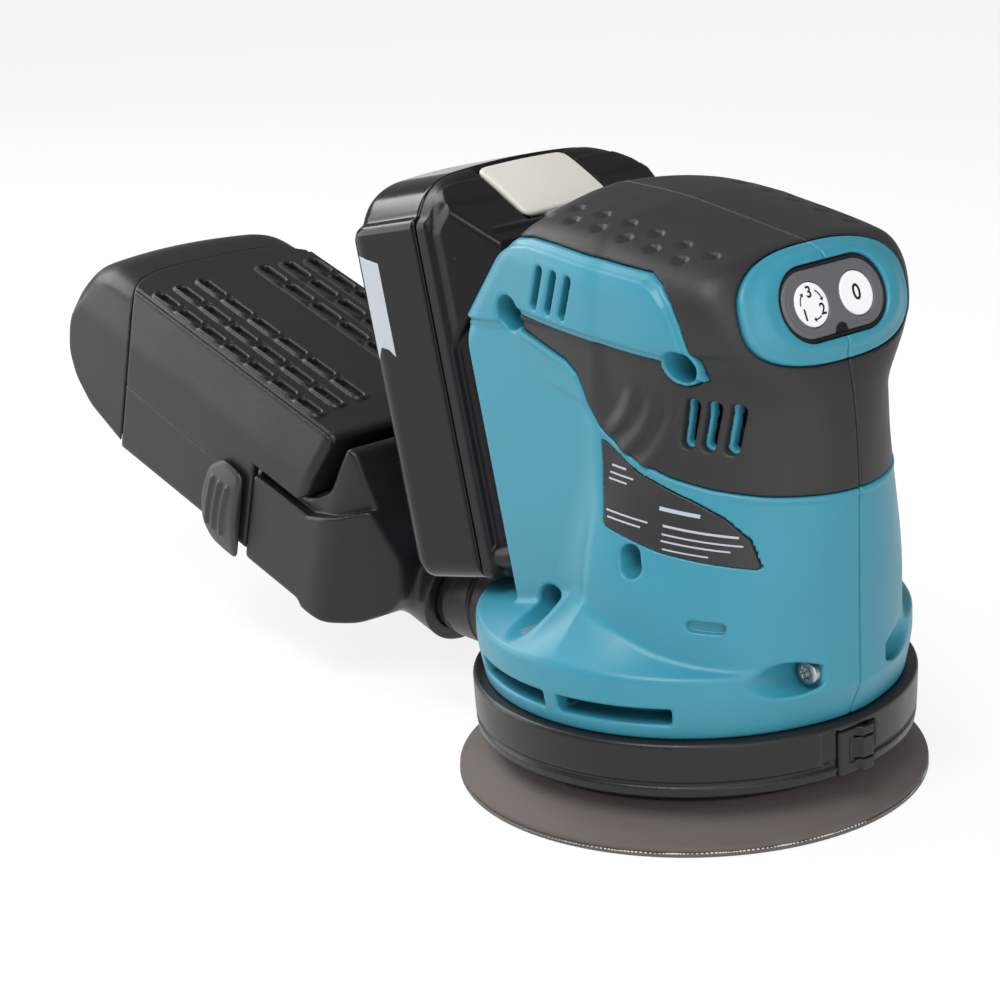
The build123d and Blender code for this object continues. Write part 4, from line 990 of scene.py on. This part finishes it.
def dust_case_form(s, y, n):
    """The case: grille slots with raised rims, grooves, and a front cut back for the nose."""
    side = abs(y)
    slots, rows = grille(s, y)
    section = dust_section(y, n)
    rim = 0.55 * ramp(0.9 - abs(slots - 0.7), 0.0, 0.8)
    rim = rim + 0.35 * ramp(0.8 - abs(rows), 0.0, 0.7)
    top_only = (n > 38.0)
    section = section - rim * top_only
    groove = 0.35 * ramp(0.7 - abs(n - 12.4 - 0.03 * (s - 190.0)), 0.0, 0.5)
    groove = groove * ramp(s, 158.0, 160.0)
    edge_groove = 0.3 * ramp(0.6 - abs(side - 32.0), 0.0, 0.4) * top_only
    section = section + groove + edge_groove
    drop = BOX_TOP - n
    form = smax(section, 118.4 - s + 0.16 * drop, 1.0)
    form = smax(form, (127.0 - s + 0.21 * drop) * 0.75 - 3.4, 2.5)
    form = smax(form, minimum(0.62 * (125.6 - s) + 0.78 * (22.8 - n), 140.0 - s), 1.0)
    form = smax(form, minimum(151.2 - s, 19.4 - n), 0.8)
    form = smax(form, s - joint_line(y) + 0.12, 0.6)
    walls = dust_section(y, n) + 2.2
    inner = smax(walls, 153.0 - s, 1.0)
    upper = maximum(maximum(walls, 131.0 - s), 21.8 - n)
    form = maximum(form, -minimum(inner, upper))
    return smax(form, -maximum(slots, 36.0 - n), 0.5)


def cap_form(s, y, n):
    """The rounded end cap, open toward the case."""
    side = abs(y)
    end = outline(CAP_PROFILE, s + 0.0042 * y * y, n)
    round_over = smax(end, 0.962 * (side - 38.6) + 0.27 * maximum(n - 28.0, -6.0), 11.0)
    chamfer = 0.962 * (side - BOX_SIDE) + 0.27 * (n - 28.0)
    form = smax(smax(round_over, side - BOX_SIDE, 0.5), chamfer, 0.8)
    form = smax(form, n - BOX_TOP, 1.8)
    form = smax(form, joint_line(y) - s + 0.12, 0.6)
    cavity = maximum(end + 2.4, dust_section(y, n) + 2.4)
    return maximum(form, -cavity)


def nose_form(s, y, n):
    """The open-topped funnel between the pipe and the case."""
    side = abs(y)
    profile = outline(NOSE_PROFILE, s, n)
    lip = np.interp(s, [95.0, 104.0, 114.0, 125.0, 160.0], [31.0, 27.6, 21.4, 16.6, 16.4])
    lip = lip.astype(np.float32)
    wide = BOX_SIDE - 17.0 * ramp(-s, -122.0, -92.0) ** 1.5
    inner = wide - 3.4 - 0.10 * maximum(n - lip, 0.0)
    walls = smax(side - wide, n - lip, 1.0)
    form = smax(profile, minimum(walls, side - inner), 1.6)
    seat = sqrt(y * y + (n - 0.33) ** 2)
    spigot = maximum(seat - 16.9, abs(s - 98.5) - 6.0)
    form = smin(form, spigot, 2.5)
    bore = maximum(seat - 13.1, s - 104.0)
    room = maximum(profile + 2.2, side - inner + 2.2)
    mouth = maximum(maximum(side - 31.2, abs(n - 4.8) - 14.0), 133.0 - s)
    return smax(form, -minimum(minimum(bore, room), mouth), 0.5)


def clip_form(s, y, n):
    """The near clip's plate: rounded at the back, bowed, with three upright ribs."""
    side = -y
    plan = outline(CLIP_OUTLINE, s, n)
    bow = 0.02 * (n - 1.5) ** 2 + 0.012 * (s - 159.0) ** 2
    ribs = 0.0
    for index in range(3):
        rib = slot_form(s, n, (158.2 + 3.7 * index, 1.0), (0.75, 8.4), radians(-4))
        ribs = ribs + 0.9 * ramp(0.5 - rib, 0.0, 0.9)
    return smax(smax(side - 41.0 + bow * 0.5 - ribs, plan, 1.5), 38.0 - side, 0.5)


def make_dust_box():
    place = dust_place()
    carve_piece("filter_case", dust_case_form, (116.0, -39.0, -11.0), (233.0, 39.0, 43.6),
                "filter_box", DUST, "dust_box_plastic", "dust_case", place=place)
    carve_piece("filter_cap", cap_form, (212.0, -39.5, -11.5), (258.5, 39.5, 43.6),
                "filter_box", DUST, "dust_box_plastic", "dust_box_cap", place=place)
    carve_piece("nose_piece", nose_form, (90.0, -39.0, -17.5), (153.0, 39.0, 43.0),
                "nose", BLACK, "dust_box_plastic", "dust_nose", place=place)
    clip = carve_piece("right_clip_plate", clip_form, (150.0, -43.0, -15.0), (172.5, -36.5, 18.0),
                       "clip_right", CLIP, "black_nylon", "right_clip", place=place)
    mesh = clip.data.copy()
    mesh.transform(Matrix.Scale(-1.0, 4, (0, 1, 0)))
    mesh.flip_normals()
    finish_piece(add("left_clip_plate", mesh), "clip_left", CLIP, "black_nylon", "left_clip")


# ---- carried-over CAD ----
def dress_cad():
    """Gives every CAD node the material of its slot."""
    looks = {"teal_housing": TEAL, "soft_grip": GRIP, "seal_rubber": GRIP, "black_nylon": BLACK,
             "dust_box_plastic": DUST, "filter_paper": PAPER, "battery_gloss": GLOSS,
             "battery_satin": SATIN, "release_grey": RELEASE, "button_white": WHITE,
             "panel_grey": PANEL, "lamp_lens": INK, "label_film": LABEL, "hook_fabric": FOAM,
             "pad_foam": FOAM, "pad_moulding": BLACK, "screw_steel": SCREW, "bearing_steel": BRIGHT,
             "can_steel": BRIGHT, "lamination_iron": CAST, "magnet_ferrite": FERRITE,
             "copper_wire": COPPER, "die_cast": CAST, "fan_nylon": BLACK, "circuit_board": BOARD,
             "contact_brass": COPPER, "cell_wrap": SLEEVE}
    for part in frame["record"]["subparts"]:
        mesh = NODES[part["node"]].data
        mesh.materials.clear()
        mesh.materials.append(looks[part["material_slot"]])


# ---- light, floor and camera ----
VIEW_ANGLES = (50.53, 17.98, 2.71)     # azimuth, elevation and roll, in degrees
VIEW_PLACE = (-47.57, 70.15, -737.30)  # along the unrolled right, up and view axes, in mm
LENS = 100.8
FLOOR_GLOW = 0.84
WORLD_STRENGTH = 0.26
LIGHTS = [("key", 7.0, 0.5, (0.22, -0.50, 0.90)), ("rim", 5.0, 0.5, (-0.75, -0.15, 0.65)),
          ("fill", 4.0, 0.9, (0.85, -0.35, 0.35)), ("low", 5.0, 0.7, (-1.10, -0.62, 0.24))]


def make_camera():
    """The photograph's view, from a camera fitted to it."""
    azimuth, elevation, roll = (radians(angle) for angle in VIEW_ANGLES)
    right = Vector((cos(azimuth), sin(azimuth), 0))
    ahead = Vector((-sin(azimuth) * cos(elevation), cos(azimuth) * cos(elevation), -sin(elevation)))
    up = right.cross(ahead)
    centre = (VIEW_PLACE[0] * right + VIEW_PLACE[1] * up + VIEW_PLACE[2] * ahead) * MM
    right, up = cos(roll) * right - sin(roll) * up, sin(roll) * right + cos(roll) * up
    camera = bpy.data.objects.new("camera", bpy.data.cameras.new("camera"))
    turn = Matrix((right, up, -ahead)).transposed().to_4x4()
    camera.matrix_world = Matrix.Translation(centre) @ turn
    camera.data.lens = LENS
    camera.data.sensor_width = 36.0
    camera.data.clip_start = 0.02
    bpy.context.scene.collection.objects.link(camera)
    bpy.context.scene.camera = camera


def make_light(name, energy, size, place, target=(-0.03, 0, 0.08)):
    """An area light in watts and metres, aimed at the sander's middle."""
    light = bpy.data.lights.new(name, "AREA")
    light.energy, light.size = energy, size
    lamp = bpy.data.objects.new(name, light)
    lamp.location = place
    lamp.rotation_euler = (Vector(target) - Vector(place)).to_track_quat("-Z", "Y").to_euler()
    bpy.context.scene.collection.objects.link(lamp)


def make_studio():
    world = bpy.data.worlds.new("studio")
    world.use_nodes = True
    background = world.node_tree.nodes["Background"]
    background.inputs["Color"].default_value = (1.0, 1.0, 1.0, 1.0)
    background.inputs["Strength"].default_value = WORLD_STRENGTH
    bpy.context.scene.world = world
    bpy.context.scene.view_settings.view_transform = "Standard"
    bpy.ops.mesh.primitive_plane_add(size=12.0, location=(0, 0, -0.0002))
    floor = bpy.context.object
    floor.name = "floor"
    paper = moulded("floor_white", (0.18, 0.18, 0.18), 0.9, 5.0, 0.0, 0.0, specular=0.0)
    shader = paper.node_tree.nodes["Principled BSDF"]
    shader.inputs["Emission Color"].default_value = (1.0, 1.0, 1.0, 1.0)
    shader.inputs["Emission Strength"].default_value = FLOOR_GLOW
    floor.data.materials.append(paper)
    for light in LIGHTS:
        make_light(*light)


make_camera()
make_studio()
make_housing()
make_label()
make_screws()
make_switches()
make_foot()
make_battery()
make_dust_box()
dress_cad()
